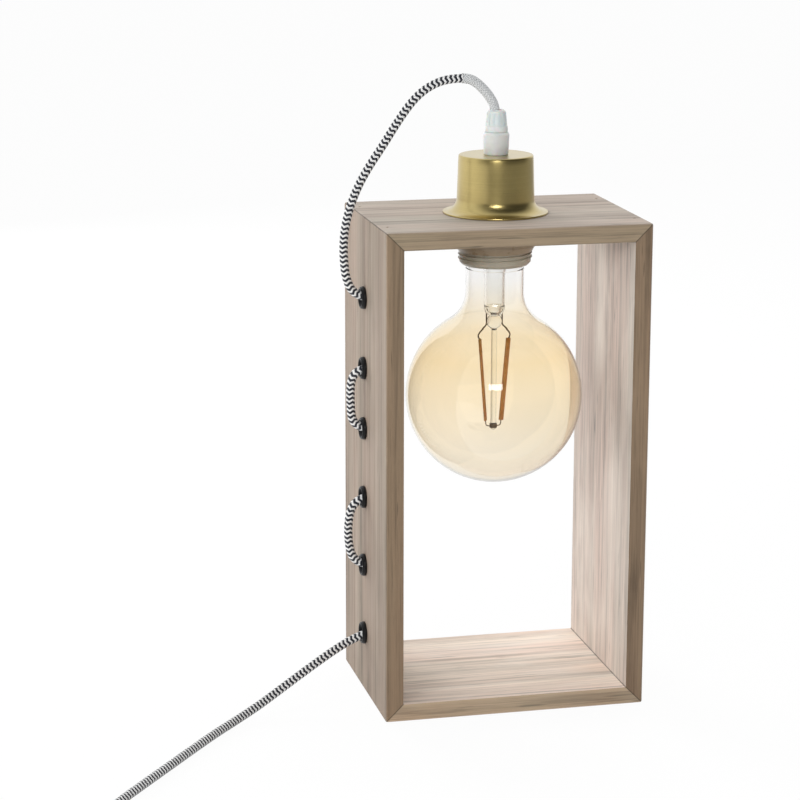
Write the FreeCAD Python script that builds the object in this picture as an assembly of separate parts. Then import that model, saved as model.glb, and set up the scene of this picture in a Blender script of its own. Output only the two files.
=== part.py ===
"""Bare bulb table lamp: an upright wooden frame with the bulb hanging from its top board.

Millimetres, +Z up. The origin is the middle of the underside of the bottom board, X runs across
the open front and Y from the front to the back. The textile cord rises from the brass cup, bends
over the left corner and is laced in and out of six eyelets down the left board.
"""
import FreeCAD, Part

import math
import os

V = FreeCAD.Vector
X_AXIS = V(1, 0, 0)
Y_AXIS = V(0, 1, 0)
Z_AXIS = V(0, 0, 1)
ORIGIN = V(0, 0, 0)

# Driving dimensions: wooden frame
frame_width = 142.0
frame_depth = 103.0
frame_height = 262.0
board = 9.5
outer_rounding = 1.2
pin_diameter = 1.6
pin_length = 22.0
pin_fit = 0.05
pin_from_edge = 18.0
pin_set = 0.3

# Eyelets and their six holes, from the top one down
hole_heights = [219.0, 181.0, 148.0, 110.0, 72.0, 33.5]
eyelet_bore = 8.4
eyelet_barrel = 9.8
eyelet_fit = 0.05
eyelet_flange = 12.1
eyelet_stand = 2.0
eyelet_edge = 0.7
eyelet_shoulder = 1.7
eyelet_dish = 1.2
eyelet_bevel = 1.1

# Brass cup
cup_height = 31.0
cup_wall = 0.8
cup_waist = 41.2
cup_top = 39.6
cup_lip = 1.0
flare_radius = 7.0
flare_bands = 4
rim_rounding = 1.2

# Nipple that pulls the holder up into the cup
nipple_diameter = 10.0
nipple_bore = 7.4
nipple_length = 18.0
nipple_above_cup = 6.6
thread_fit = 0.05
nut_across = 14.0
nut_height = 2.6

# Cord grip
grip_base_diameter = 13.9
grip_base_height = 12.0
grip_nut_diameter = 12.2
grip_nut_top = 9.6
grip_nut_height = 11.6
grip_end_rounding = 0.9
grip_base_taper = 0.4
grip_base_bevel = 0.7
grip_base_bevel_height = 1.2
grip_core_bore = 3.8
grip_collar = 3.0
grip_collar_taper = 0.1

# Lamp holder for a standard 27 mm screw bulb
cap_cup_gap = 1.2
skirt_diameter = 39.5
skirt_bore = 33.4
skirt_below_board = 18.0
holder_depth = 27.8
skirt_above_board = 2.0
skirt_chamfer = 1.6
ledge_bore = 29.0
ledge_height = 2.5
ridge_height = 0.7
ridge_pitch = 2.2
ridge_count = 3
ridge_slope = 0.5
ridge_flat = 0.45
hole_clearance = 0.5
ring_diameter = 43.4
ring_height = 10.6
ring_bevel = 2.0
ring_bevel_height = 3.4
ring_fit = 0.1
cap_wall = 2.0
cap_dome = 6.0
cap_dome_inset = 5.0
cap_neck = 4.8
cap_nut_gap = 0.2
insert_height = 9.0
insert_fit = 0.3
insert_floor = 3.0
shell_bore = 27.2
shell_wall = 0.5
shell_length = 22.0
tongue_length = 12.0
tongue_past_centre = 5.0
tongue_width = 5.0
tongue_thickness = 0.6
contact_rise = 2.0
terminal_screw = 3.5
terminal_head = 5.5
terminal_head_height = 2.0
terminal_screw_end = 0.2
terminal_spacing = 19.0
core_diameter = 2.2
core_spacing = 3.3
core_port = 3.4
core_clear = 0.5
core_rise = 2.5
core_elbow_out = 3.8
core_elbow_back = 1.4
core_elbow_below = 3.6
core_entry_below = 0.6
core_in_nipple = 9.0

# Globe bulb
globe_diameter = 95.0
glass_wall = 0.9
glass_neck = 31.2
glass_shoulder = 4.0
glass_tuck = 5.0
glass_tuck_fit = 0.4
neck_sweep = 18.0
globe_bands = 12
neck_bands = 4
bulb_length = 146.5
bulb_cap_diameter = 26.0
bulb_cap_wall = 0.4
bulb_cap_length = 20.0
bulb_cap_cone = 3.0
insulator_height = 4.6
insulator_margin = 1.0
contact_diameter = 9.0
contact_height = 1.4
contact_bevel = 1.0
stem_diameter = 11.2
stem_foot = 22.2
stem_wall = 1.1
stem_above_middle = 44.0
stem_in_cap = 3.0
stem_flare_height = 9.0
pinch_width = 9.0
pinch_thickness = 3.4
pinch_length = 9.0
pinch_web = 1.2
rod_diameter = 3.4
rod_below_middle = 18.0
filament_above_middle = 28.0
filament_length = 44.0
filament_width = 3.0
filament_thickness = 1.2
filament_top_spread = 14.3
filament_bottom_spread = 8.0
lead_wire = 0.7
wire_spread = 3.2
wire_in_pinch = 0.3
wire_past_filament = 0.3
wire_below_filament = 0.4
wire_drop = 1.6
driver_length = 13.0
driver_width = 14.0
driver_thickness = 1.2
chip_width = 7.0
chip_thickness = 2.4
chip_height = 6.0
chip_above_edge = 3.0

# Cord
cord_diameter = 4.6
cord_sides = 8
sleeve_diameter = 5.2
sleeve_socket = 9.0
sleeve_fit = 0.25

# Inline switch
switch_length = 60.0
switch_width = 25.0
switch_height = 17.0
switch_split = 8.0
switch_chamfer = 1.2
switch_corner = 7.5
switch_port_depth = 3.0
pivot_below_top = 7.0
bearing_reach = 4.0
rocker_radius = 8.7
rocker_width = 10.0
rocker_gap = 0.3
rocker_throw = 20.0
rocker_pin = 3.0
rocker_pin_fit = 0.08
rocker_pin_reach = 3.0
rocker_below_pivot = 3.6
rocker_crest = 7.482
switch_screw = 3.0
switch_screw_head = 5.4
screw_head_fit = 0.1
screw_recess = 2.6
screw_head_height = 1.9
screw_reach = 4.8
screw_end_gap = 0.2
screw_from_end = 12.0
screw_from_side = 6.0

# Coil of the cord that is put away
coil_turns_per_layer = 3
coil_outer_radius = 31.5
coil_pitch = 5.2
coil_layer = 5.3
coil_sides = 6
tie_thickness = 0.5
tie_width = 4.0
tie_gap = 0.6
tie_rounding = 1.5
sample_step = 2.0

# Mains plug
plug_width = 35.3
plug_thickness = 13.7
plug_body_length = 34.0
plug_front_width = 25.0
plug_pin_diameter = 4.0
plug_pin_length = 19.0
plug_pin_spacing = 19.0
plug_pin_rounding = 1.2
plug_corner = 3.0
plug_neck_width = 15.0
plug_neck_thickness = 11.0
plug_neck_corner = 2.6
plug_shoulder = 7.0
plug_flange = 4.0
plug_flange_slope = 5.0
relief_end = 5.8
relief_end_corner = 1.6
relief_root_width = 9.4
relief_root_thickness = 8.6
relief_root_corner = 2.4
relief_length = 12.0

# Places that follow from the sizes
half_width = frame_width / 2
half_depth = frame_depth / 2
board_top = frame_height
board_under = frame_height - board
cup_top_z = board_top + cup_height
disc_under = cup_top_z - cup_wall

# Route of the cord as (x, y, z) points, chosen by hand. The tube's straight runs join them
# with tangent arcs, so each arc passes a little inside its point.
sleeve_route = [
    (0.0, 0.0, 307.6),
    (0.0, 0.0, 321.4),
    (-4.7, 0.0, 329.4),
    (-12.2, 0.0, 333.4),
    (-18.6, 0.0, 333.4),
]
upper_route = [
    (-18.6, 0.0, 333.4),
    (-25.6, 0.0, 333.4),
    (-34.2, 0.0, 330.8),
    (-41.6, 0.0, 326.0),
    (-47.8, 0.0, 319.3),
    (-54.6, 0.0, 309.6),
    (-61.2, 0.0, 299.2),
    (-68.6, 0.0, 288.6),
    (-74.9, 0.0, 277.6),
    (-79.6, 0.0, 265.3),
    (-82.2, 0.0, 252.2),
    (-82.2, 0.0, 239.6),
    (-80.8, 0.0, 228.4),
    (-76.25, 0.0, 220.8),
    (-66.25, 0.0, 218.8),
]
lacing_route = [
    (-66.25, 0.0, 218.8),
    (-58.25, 0.0, 217.2),
    (-54.6, 0.0, 211.4),
    (-53.9, 0.0, 200.5),
    (-55.1, 0.0, 189.4),
    (-58.9, 0.0, 183.3),
    (-66.25, 0.0, 181.2),
    (-74.4, 0.0, 180.2),
    (-78.2, 0.0, 175.8),
    (-78.8, 0.0, 168.0),
    (-78.6, 0.0, 160.2),
    (-78.0, 0.0, 153.0),
    (-74.2, 0.0, 149.0),
    (-66.25, 0.0, 147.9),
    (-58.3, 0.0, 146.4),
    (-54.7, 0.0, 141.0),
    (-53.8, 0.0, 129.6),
    (-54.9, 0.0, 118.6),
    (-58.7, 0.0, 112.2),
    (-66.25, 0.0, 110.1),
    (-74.4, 0.0, 109.0),
    (-78.8, 0.0, 104.0),
    (-80.2, 0.0, 95.2),
    (-80.1, 0.0, 86.4),
    (-78.6, 0.0, 77.9),
    (-74.3, 0.0, 73.2),
    (-66.25, 0.0, 72.1),
    (-58.3, 0.0, 70.6),
    (-54.6, 0.0, 65.1),
    (-53.9, 0.0, 52.9),
    (-55.2, 0.0, 41.8),
    (-59.25, 0.0, 35.55),
    (-66.25, 0.0, 33.8),
]
lead_route = [
    (-66.25, 0.0, 33.8),
    (-75.05, 0.0, 31.6),
    (-86.0, -2.0, 27.0),
    (-101.1, -7.0, 19.6),
    (-118.7, -14.6, 11.2),
    (-133.9, -23.6, 5.0),
    (-148.4, -36.4, 2.4),
    (-163.2, -54.7, 2.5),
    (-179.6, -76.6, 2.4),
    (-198.6, -102.6, 2.5),
    (-217.0, -127.4, 2.4),
    (-234.4, -152.4, 2.5),
    (-246.4, -175.6, 3.0),
    (-250.2, -188.5, 4.3),
    (-248.6, -200.5, 6.0),
    (-241.6, -208.0, 7.4),
    (-231.0, -210.0, 8.0),
    (-222.0, -210.0, 8.0),
]
switch_end_x = -222.0
switch_y = -210.0
coil_link_route = [
    (-162.0, -210.0, 8.0),
    (-154.0, -210.0, 8.0),
    (-146.0, -210.0, 5.5),
    (-137.0, -210.0, 2.9),
    (-129.0, -210.0, 2.9),
]
coil_centre_x = -124.0
plug_route = [
    (-128.6, -273.0, 8.2),
    (-137.0, -273.0, 8.2),
    (-147.0, -273.0, 6.85),
    (-156.0, -273.0, 6.85),
]


def vector(point):
    return V(*point)


def revolved(points):
    """A solid turned about Z from a closed outline of (radius, z) corners."""
    corners = [V(r, 0, z) for r, z in points]
    outline = Part.Face(Part.makePolygon(corners + [corners[0]]))
    if outline.normalAt(0, 0).y > 0:
        corners.reverse()
        outline = Part.Face(Part.makePolygon(corners + [corners[0]]))
    return outline.revolve(ORIGIN, Z_AXIS, 360)


def arc_points(centre, radius, start, end, bands):
    """Points on an arc of an outline, in short chords; angles in degrees from the radial axis."""
    points = []
    for band in range(bands + 1):
        angle = math.radians(start + (end - start) * band / bands)
        points.append((centre[0] + radius * math.cos(angle), centre[1] + radius * math.sin(angle)))
    return points


def ring(outer, inner, low, high):
    """A plain tube about Z, given by its two diameters."""
    return revolved([(inner / 2, low), (outer / 2, low), (outer / 2, high), (inner / 2, high)])


def rod(diameter, start, end):
    span = vector(end) - vector(start)
    return Part.makeCylinder(diameter / 2, span.Length, vector(start), span)


def save(name, *solids):
    """Write one sub-part, which holds one solid or a group of separate solids."""
    shape = solids[0] if len(solids) == 1 else Part.makeCompound(list(solids))
    if not shape.isValid():
        print("not valid:", name)
    shape.exportStep("parts/" + name + ".step")


def rounded_path(points):
    """A wire of straight runs with the largest tangent arcs that its runs allow."""
    share = 0.45
    knots = [vector(p) for p in points]
    edges = []
    radii = []
    last = knots[0]
    for before, corner, after in zip(knots, knots[1:], knots[2:]):
        into = (corner - before).normalize()
        out = (after - corner).normalize()
        half_turn = into.getAngle(out) / 2
        tangent = share * min((corner - before).Length, (after - corner).Length)
        radius = tangent / math.tan(half_turn)
        start = corner - into * tangent
        end = corner + out * tangent
        inward = (out - into).normalize()
        middle = corner + inward * (radius / math.cos(half_turn) - radius)
        edges.append(Part.LineSegment(last, start).toShape())
        edges.append(Part.Arc(start, middle, end).toShape())
        radii.append(radius)
        last = end
    edges.append(Part.LineSegment(last, knots[-1]).toShape())
    return Part.Wire(edges), min(radii)


def section_reach(area, sides):
    """How far the corners of a regular polygon of that area are from its middle."""
    return math.sqrt(2 * area / (sides * math.sin(2 * math.pi / sides)))


def cord_section(start, along, diameter, sides):
    """A regular polygon of the round cord's area, square to its path, with a flat underneath."""
    area = math.pi * diameter**2 / 4
    reach = section_reach(area, sides)
    across = along.cross(Z_AXIS)
    if across.Length < 0.01:
        across = X_AXIS
    across.normalize()
    upward = across.cross(along).normalize()
    corners = []
    for side in range(sides):
        angle = 2 * math.pi * (side + 0.5) / sides - math.pi / 2
        corners.append(start + across * (reach * math.cos(angle)) + upward * (reach * math.sin(angle)))
    return Part.makePolygon(corners + [corners[0]]), area


def swept_cord(name, path, diameter, sides):
    """The solid of a cord along its path, with its volume set against section times length."""
    first = path.Edges[0]
    start = first.valueAt(first.FirstParameter)
    along = first.tangentAt(first.FirstParameter)
    section, area = cord_section(start, along, diameter, sides)
    solid = path.makePipeShell([section], True, False)
    print("%s: length %.1f, volume over section x length %.4f"
          % (name, path.Length, solid.Volume / (area * path.Length)))
    return solid


def cord_tube(name, points, diameter):
    path, tightest = rounded_path(points)
    print("%s: tightest radius %.1f" % (name, tightest))
    save(name, swept_cord(name, path, diameter, cord_sides))
    return path.Length


# Wooden frame: four mitred boards, rounded along their outer edges

def frame_blank():
    outer = Part.makeBox(frame_width, frame_depth, frame_height, V(-half_width, -half_depth, 0))
    outer = outer.makeFillet(outer_rounding, outer.Edges)
    opening = Part.makeBox(
        frame_width - 2 * board, frame_depth + 2, frame_height - 2 * board,
        V(-half_width + board, -half_depth - 1, board))
    return outer.cut(opening)


def mitred(blank, corners):
    points = [V(x, -half_depth - 1, z) for x, z in corners]
    face = Part.Face(Part.makePolygon(points + [points[0]]))
    return blank.common(face.extrude(V(0, frame_depth + 2, 0)))


def corner_pins():
    """Two headless steel pins through each mitre, driven down from the top and up from below."""
    pins = []
    for side in (-1, 1):
        x = side * (half_width - board / 2)
        for y in (-half_depth + pin_from_edge, half_depth - pin_from_edge):
            pins.append(rod(pin_diameter, (x, y, board_top - pin_length), (x, y, board_top - pin_set)))
            pins.append(rod(pin_diameter, (x, y, pin_set), (x, y, pin_length)))
    return pins


def pin_holes():
    holes = []
    for pin in corner_pins():
        box = pin.BoundBox
        centre = box.Center
        low = box.ZMin if box.ZMin > board_top / 2 else -1.0
        high = box.ZMax if box.ZMin < board_top / 2 else board_top + 1.0
        holes.append(rod(pin_diameter + 2 * pin_fit, (centre.x, centre.y, low), (centre.x, centre.y, high)))
    return Part.makeCompound(holes)


def make_frame():
    blank = frame_blank().cut(pin_holes())
    w, h, t = half_width, frame_height, board
    top = mitred(blank, [(-w, h), (w, h), (w - t, h - t), (-w + t, h - t)])
    bottom = mitred(blank, [(-w, 0), (w, 0), (w - t, t), (-w + t, t)])
    left = mitred(blank, [(-w, 0), (-w + t, t), (-w + t, h - t), (-w, h)])
    right = mitred(blank, [(w, 0), (w - t, t), (w - t, h - t), (w, h)])
    skirt_hole = rod(skirt_diameter + 2 * hole_clearance, (0, 0, board_under - 1), (0, 0, board_top + 1))
    barrel_hole = eyelet_barrel + 2 * eyelet_fit
    for z in hole_heights:
        left = left.cut(rod(barrel_hole, (-w - 1, 0, z), (-w + t + 1, 0, z)))
    save("top_board", top.cut(skirt_hole))
    save("bottom_board", bottom)
    save("left_board", left)
    save("right_board", right)
    save("corner_pins", *corner_pins())


def eyelet():
    """One eyelet about Z: its barrel runs down from z = 0 and its flange is domed above."""
    bore, barrel, edge = eyelet_bore / 2, eyelet_barrel / 2, eyelet_flange / 2
    return revolved([
        (bore, -board), (barrel, -board), (barrel, 0), (edge, 0), (edge, eyelet_edge),
        (edge - eyelet_bevel / 2, eyelet_shoulder), (edge - eyelet_bevel, eyelet_stand), (bore, eyelet_dish)])


def make_eyelets():
    solids = []
    for z in hole_heights:
        one = eyelet()
        one.rotate(ORIGIN, Y_AXIS, -90)
        one.translate(V(-half_width, 0, z))
        solids.append(one)
    save("cord_eyelets", *solids)


# Brass cup, nipple and cord grip on top of the frame

def make_cup():
    """A drawn cup that flares out to its rim on the board, with a hole in its top for the nipple."""
    waist, top, w = cup_waist / 2, cup_top / 2, cup_wall
    base = waist + flare_radius
    lip_z = board_top + cup_lip
    flare_centre = (base, lip_z + flare_radius)
    rim_z = cup_top_z - rim_rounding
    hole = nipple_diameter / 2 + thread_fit
    outside = arc_points(flare_centre, flare_radius, 270, 180, flare_bands)
    outside += arc_points((top - rim_rounding, rim_z), rim_rounding, 0, 90, 2)
    inside = [(top - rim_rounding, disc_under), (top - w, rim_z)]
    inside += arc_points(flare_centre, flare_radius + w, 180, 255, flare_bands - 1)
    flare_end = (inside[-1][0], board_top)
    save("brass_cup", revolved(
        [(base, board_top)] + outside + [(hole, cup_top_z), (hole, disc_under)] + inside + [flare_end]))


def hexagon_nut(across, height, bore, low):
    reach = across / 2 / math.cos(math.pi / 6)
    corners = [V(reach * math.cos(math.pi * k / 3), reach * math.sin(math.pi * k / 3), low) for k in range(6)]
    nut = Part.Face(Part.makePolygon(corners + [corners[0]])).extrude(V(0, 0, height))
    return nut.cut(rod(bore, (0, 0, low - 1), (0, 0, low + height + 1)))


def make_nipple():
    top = cup_top_z + nipple_above_cup
    save("fixing_nipple", ring(nipple_diameter, nipple_bore, top - nipple_length, top))
    thread = nipple_diameter + 2 * thread_fit
    save("nipple_nut", hexagon_nut(nut_across, nut_height, thread, disc_under - nut_height))
    return top


def make_grip(nipple_top):
    """The base screws on the nipple, and the tapered nut above it holds the cord's sleeve."""
    low = cup_top_z
    shoulder = low + grip_base_height
    top = shoulder + grip_nut_height
    thread = (nipple_diameter + 2 * thread_fit) / 2
    base = grip_base_diameter / 2
    core = grip_core_bore / 2
    collar = grip_nut_diameter / 2
    save("cord_grip_base", revolved([
        (thread, low), (base - grip_base_taper, low), (base, shoulder - grip_base_bevel_height),
        (base - grip_base_bevel, shoulder),
        (core, shoulder), (core, nipple_top), (thread, nipple_top)]))
    socket = sleeve_diameter / 2 + sleeve_fit
    socket_z = top - sleeve_socket
    save("cord_grip_nut", revolved([
        (core, shoulder), (collar, shoulder), (collar - grip_collar_taper, shoulder + grip_collar),
        (grip_nut_top / 2, top - grip_end_rounding), (grip_nut_top / 2 - grip_end_rounding, top),
        (socket, top), (socket, socket_z), (core, socket_z)]))


# Lamp holder: cap and threaded skirt, clamped to the board by the ring below it

def make_holder():
    skirt_low = board_under - skirt_below_board
    skirt_high = board_top + skirt_above_board
    outer, bore = skirt_diameter / 2, skirt_bore / 2
    body = outer - ridge_height
    ridge_z = skirt_low + skirt_chamfer
    outline = [(bore, skirt_low), (body - skirt_chamfer, skirt_low)]
    for ridge in range(ridge_count):
        z = ridge_z + ridge * ridge_pitch
        top = z + ridge_slope + ridge_flat
        outline += [(body, z), (outer, z + ridge_slope), (outer, top), (body, top + ridge_slope)]
    contact_z = holder_contact_z()
    insert_low = contact_z + contact_rise
    ledge_high = insert_low - shell_wall
    ledge_low = ledge_high - ledge_height
    ledge = ledge_bore / 2
    outline += [(body, skirt_high), (bore, skirt_high), (bore, ledge_high), (ledge, ledge_high),
                (ledge, ledge_low), (bore, ledge_low)]
    save("holder_skirt", revolved(outline))

    ring_low = board_under - ring_height
    ring_bore = body + ring_fit
    save("shade_ring", revolved([
        (ring_bore, ring_low), (ring_diameter / 2 - ring_bevel, ring_low),
        (ring_diameter / 2, ring_low + ring_bevel_height), (ring_diameter / 2, board_under), (ring_bore, board_under)]))

    nut_low = disc_under - nut_height
    side = cup_top / 2 - cup_wall - cap_cup_gap
    neck = nipple_diameter / 2 + thread_fit
    dome_z = nut_low - cap_dome
    dome_side = side - cap_dome_inset
    seat_z = nut_low - cap_nut_gap
    neck_z = seat_z - cap_neck
    save("holder_cap", revolved([
        (side - cap_wall, skirt_high), (side, skirt_high), (side, dome_z), (dome_side, seat_z),
        (neck, seat_z), (neck, neck_z), (dome_side - cap_wall, neck_z),
        (side - cap_wall, dome_z - cap_wall)]))

    insert_radius = side - cap_wall - insert_fit
    insert_high = insert_low + insert_height
    insert = ring(2 * insert_radius, 2 * core_diameter, insert_low, insert_high)
    screws = []
    for x in (-terminal_spacing / 2, terminal_spacing / 2):
        floor_z = insert_low + insert_floor
        hole = rod(terminal_screw + 2 * pin_fit, (x, 0, floor_z), (x, 0, insert_high + 1))
        insert = insert.cut(hole)
        shank = rod(terminal_screw, (x, 0, floor_z + terminal_screw_end), (x, 0, insert_high))
        head = rod(terminal_head, (x, 0, insert_high), (x, 0, insert_high + terminal_head_height))
        screws.append(shank.fuse(head).removeSplitter())
    save("holder_insert", insert)
    save("terminal_screws", *screws)

    shell_high = insert_low
    shell = ring(shell_bore + 2 * shell_wall, shell_bore, shell_high - shell_length, shell_high)
    flange = ring(2 * insert_radius, shell_bore, shell_high - shell_wall, shell_high)
    save("screw_shell", shell.fuse(flange).removeSplitter())

    tongue = Part.makeBox(
        tongue_length, tongue_width, tongue_thickness, V(-tongue_past_centre, -tongue_width / 2, contact_z))
    post_x = tongue_length - tongue_past_centre - tongue_thickness
    post = Part.makeBox(
        tongue_thickness, tongue_width, insert_low - contact_z, V(post_x, -tongue_width / 2, contact_z))
    save("centre_contact", tongue.fuse(post).removeSplitter())
    return insert_high


def holder_contact_z():
    """The height where the bulb's tip meets the holder's centre contact."""
    return board_under - skirt_below_board + holder_depth


def make_cores(insert_high, nipple_low):
    """Two insulated cores from beside the terminal screws up into the nipple."""
    beside = terminal_head / 2 + core_diameter / 2 + core_clear
    for name, side in (("live_core", 1), ("neutral_core", -1)):
        x = side * terminal_spacing / 2
        inside = side * core_spacing / 2
        points = [(x, beside, insert_high), (x, beside, insert_high + core_rise),
                  (side * core_elbow_out, core_elbow_back, nipple_low - core_elbow_below),
                  (inside, 0.0, nipple_low - core_entry_below), (inside, 0.0, nipple_low + core_in_nipple)]
        path, _ = rounded_path(points)
        save(name, swept_cord(name, path, core_diameter, cord_sides))


# Globe bulb with a glass stem and two filament sticks

def globe_outline(radius, neck, sweep, middle_z, top_z):
    """Outline of the globe and its concave neck: two tangent arcs and the straight neck."""
    out = neck + sweep
    rise = math.sqrt((radius + sweep) ** 2 - out**2)
    meet = math.degrees(math.atan2(rise, out))
    globe = arc_points((0, middle_z), radius, -90, meet, globe_bands)
    concave = arc_points((out, middle_z + rise), sweep, 180 + meet, 180, neck_bands)
    return globe + concave[1:] + [(neck, top_z), (0, top_z)]


def make_bulb():
    tip = holder_contact_z()
    middle = tip - bulb_length + globe_diameter / 2
    cap_high = tip - contact_height - insulator_height
    cap_low = cap_high - bulb_cap_length
    neck = glass_neck / 2
    cap = bulb_cap_diameter / 2
    inner_cap = cap - bulb_cap_wall

    neck_z = cap_low - glass_shoulder
    outer = revolved(globe_outline(globe_diameter / 2, neck, neck_sweep, middle, neck_z))
    inner = revolved(globe_outline(
        globe_diameter / 2 - glass_wall, neck - glass_wall, neck_sweep + glass_wall, middle, neck_z))
    tuck = inner_cap - glass_tuck_fit
    tuck_z = cap_low + glass_tuck
    shoulder = revolved([
        (neck - glass_wall, neck_z), (neck, neck_z), (tuck, cap_low), (tuck, tuck_z),
        (tuck - glass_wall, tuck_z), (tuck - glass_wall, cap_low)])
    save("bulb_glass", outer.cut(inner).fuse(shoulder).removeSplitter())

    save("bulb_cap", revolved([
        (inner_cap, cap_low), (cap, cap_low), (cap, cap_high - bulb_cap_cone), (cap - bulb_cap_cone, cap_high),
        (cap - bulb_cap_cone - bulb_cap_wall, cap_high), (inner_cap, cap_high - bulb_cap_cone)]))
    tip_radius = contact_diameter / 2
    tip_low = tip - contact_height
    save("bulb_insulator", revolved([
        (0, cap_high), (cap - bulb_cap_cone, cap_high), (tip_radius + insulator_margin, tip_low), (0, tip_low)]))
    save("bulb_contact", revolved([
        (0, tip_low), (tip_radius, tip_low), (tip_radius - contact_bevel, tip), (0, tip)]))

    stem = stem_diameter / 2
    pinch_z = middle + stem_above_middle
    flare_z = cap_low + stem_in_cap
    foot = stem_foot / 2
    tube_z = flare_z - stem_flare_height
    tube = revolved([
        (foot - stem_wall, flare_z), (foot, flare_z), (stem, tube_z), (stem, pinch_z),
        (stem - stem_wall, pinch_z), (stem - stem_wall, tube_z)])
    rod_high = pinch_z - pinch_length
    pinch = Part.makeBox(
        pinch_width, pinch_thickness, pinch_length, V(-pinch_width / 2, -pinch_thickness / 2, rod_high))
    pinch = pinch.fuse(rod(stem_diameter, (0, 0, pinch_z), (0, 0, pinch_z + pinch_web)))
    save("bulb_stem", tube.fuse(pinch).removeSplitter())

    rod_low = middle - rod_below_middle
    pole = rod(rod_diameter, (0, 0, rod_low), (0, 0, rod_high))
    pole = pole.fuse(Part.makeSphere(rod_diameter / 2, V(0, 0, rod_low)))
    save("support_rod", pole.removeSplitter())

    high = middle + filament_above_middle
    low = high - filament_length
    sticks = []
    wires = []
    for side in (-1, 1):
        top = V(side * filament_top_spread / 2, 0, high)
        bottom = V(side * filament_bottom_spread / 2, 0, low)
        span = bottom - top
        stick = Part.makeBox(
            filament_width, filament_thickness, span.Length,
            V(-filament_width / 2, -filament_thickness / 2, -span.Length))
        lean = math.degrees(math.atan2(span.x, -span.z))
        stick.rotate(ORIGIN, Y_AXIS, -lean)
        stick.translate(top)
        sticks.append(stick)
        wires.append(rod(
            lead_wire, (side * wire_spread, 0, rod_high - wire_in_pinch), (top.x, 0, high + wire_past_filament)))
        beside_rod = side * (rod_diameter / 2 + wire_past_filament)
        wires.append(rod(
            lead_wire, (bottom.x, 0, low - wire_below_filament), (beside_rod, 0, low - wire_drop)))
    save("led_filaments", *sticks)
    save("filament_wires", *wires)

    board_low = cap_high - driver_length
    board_face = driver_thickness / 2
    driver = Part.makeBox(
        driver_width, driver_thickness, driver_length, V(-driver_width / 2, -board_face, board_low))
    chip = Part.makeBox(
        chip_width, chip_thickness, chip_height, V(-chip_width / 2, board_face, board_low + chip_above_edge))
    save("led_driver", driver.fuse(chip).removeSplitter())


# Inline switch on the cord

def make_switch():
    """Two housing halves with a round pocket across them for the rocker."""
    middle_x = switch_end_x + switch_length / 2
    box = Part.makeBox(
        switch_length, switch_width, switch_height, V(switch_end_x, switch_y - switch_width / 2, 0))
    uprights = [e for e in box.Edges if abs(e.tangentAt(e.FirstParameter).z) > 0.9]
    body = box.makeFillet(switch_corner, uprights)
    rims = [e for e in body.Edges if abs(e.BoundBox.ZLength) < 0.01]
    body = body.makeChamfer(switch_chamfer, rims)

    pivot_z = switch_height - pivot_below_top
    pocket_width = rocker_width + 2 * rocker_gap
    pocket = Part.makeCylinder(
        rocker_radius + rocker_gap, pocket_width, V(middle_x, switch_y - pocket_width / 2, pivot_z), Y_AXIS)
    bearing_width = rocker_width + 2 * bearing_reach
    bearing = Part.makeCylinder(
        rocker_pin / 2 + rocker_pin_fit, bearing_width, V(middle_x, switch_y - bearing_width / 2, pivot_z), Y_AXIS)
    ports = []
    for side in (0, 1):
        x = switch_end_x + side * switch_length
        port_low, port_high = x - switch_port_depth, x + switch_port_depth
        ports.append(rod(core_port, (port_low, switch_y, switch_split), (port_high, switch_y, switch_split)))
    body = body.cut(pocket).cut(bearing)
    low_half = Part.makeBox(
        switch_length + 2, switch_width + 2, switch_split, V(switch_end_x - 1, switch_y - switch_width / 2 - 1, 0))
    screws = []
    holes = []
    for side in (-1, 1):
        x = middle_x + side * (switch_length / 2 - screw_from_end)
        y = switch_y + side * (switch_width / 2 - screw_from_side)
        tip_z = switch_split + screw_reach
        head_z = screw_recess - screw_head_fit
        holes.append(rod(switch_screw, (x, y, -1), (x, y, tip_z + screw_end_gap)))
        holes.append(rod(switch_screw_head + 2 * screw_head_fit, (x, y, -1), (x, y, screw_recess)))
        shank = rod(switch_screw - 2 * pin_fit, (x, y, head_z - screw_head_height), (x, y, tip_z))
        head = rod(switch_screw_head, (x, y, head_z - screw_head_height), (x, y, head_z))
        screws.append(shank.fuse(head).removeSplitter())
    drilled = body.cut(Part.makeCompound(holes)).cut(Part.makeCompound(ports))
    save("switch_base", drilled.common(low_half))
    save("switch_cover", drilled.cut(low_half))
    save("switch_screws", *screws)

    rocker = Part.makeCylinder(rocker_radius, rocker_width, V(0, -rocker_width / 2, 0), Y_AXIS)
    keep = Part.makeBox(
        4 * rocker_radius, 2 * rocker_width, 2 * rocker_radius,
        V(-2 * rocker_radius, -rocker_width, -rocker_below_pivot))
    rocker = rocker.common(keep)
    for side in (-1, 1):
        trim = Part.makeBox(
            4 * rocker_radius, 2 * rocker_width, rocker_radius, V(-2 * rocker_radius, -rocker_width, 0))
        trim.rotate(ORIGIN, Y_AXIS, side * rocker_throw / 2)
        trim.translate(V(0, 0, rocker_crest))
        rocker = rocker.cut(trim)
    pin_width = rocker_width + 2 * rocker_pin_reach
    rocker = rocker.fuse(Part.makeCylinder(rocker_pin / 2, pin_width, V(0, -pin_width / 2, 0), Y_AXIS))
    rocker = rocker.removeSplitter()
    rocker.rotate(ORIGIN, Y_AXIS, rocker_throw / 2)
    rocker.translate(V(middle_x, switch_y, pivot_z))
    save("switch_rocker", rocker)


# Coil: a spiral in on the lower layer, one climb, and a spiral out on the upper layer

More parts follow.
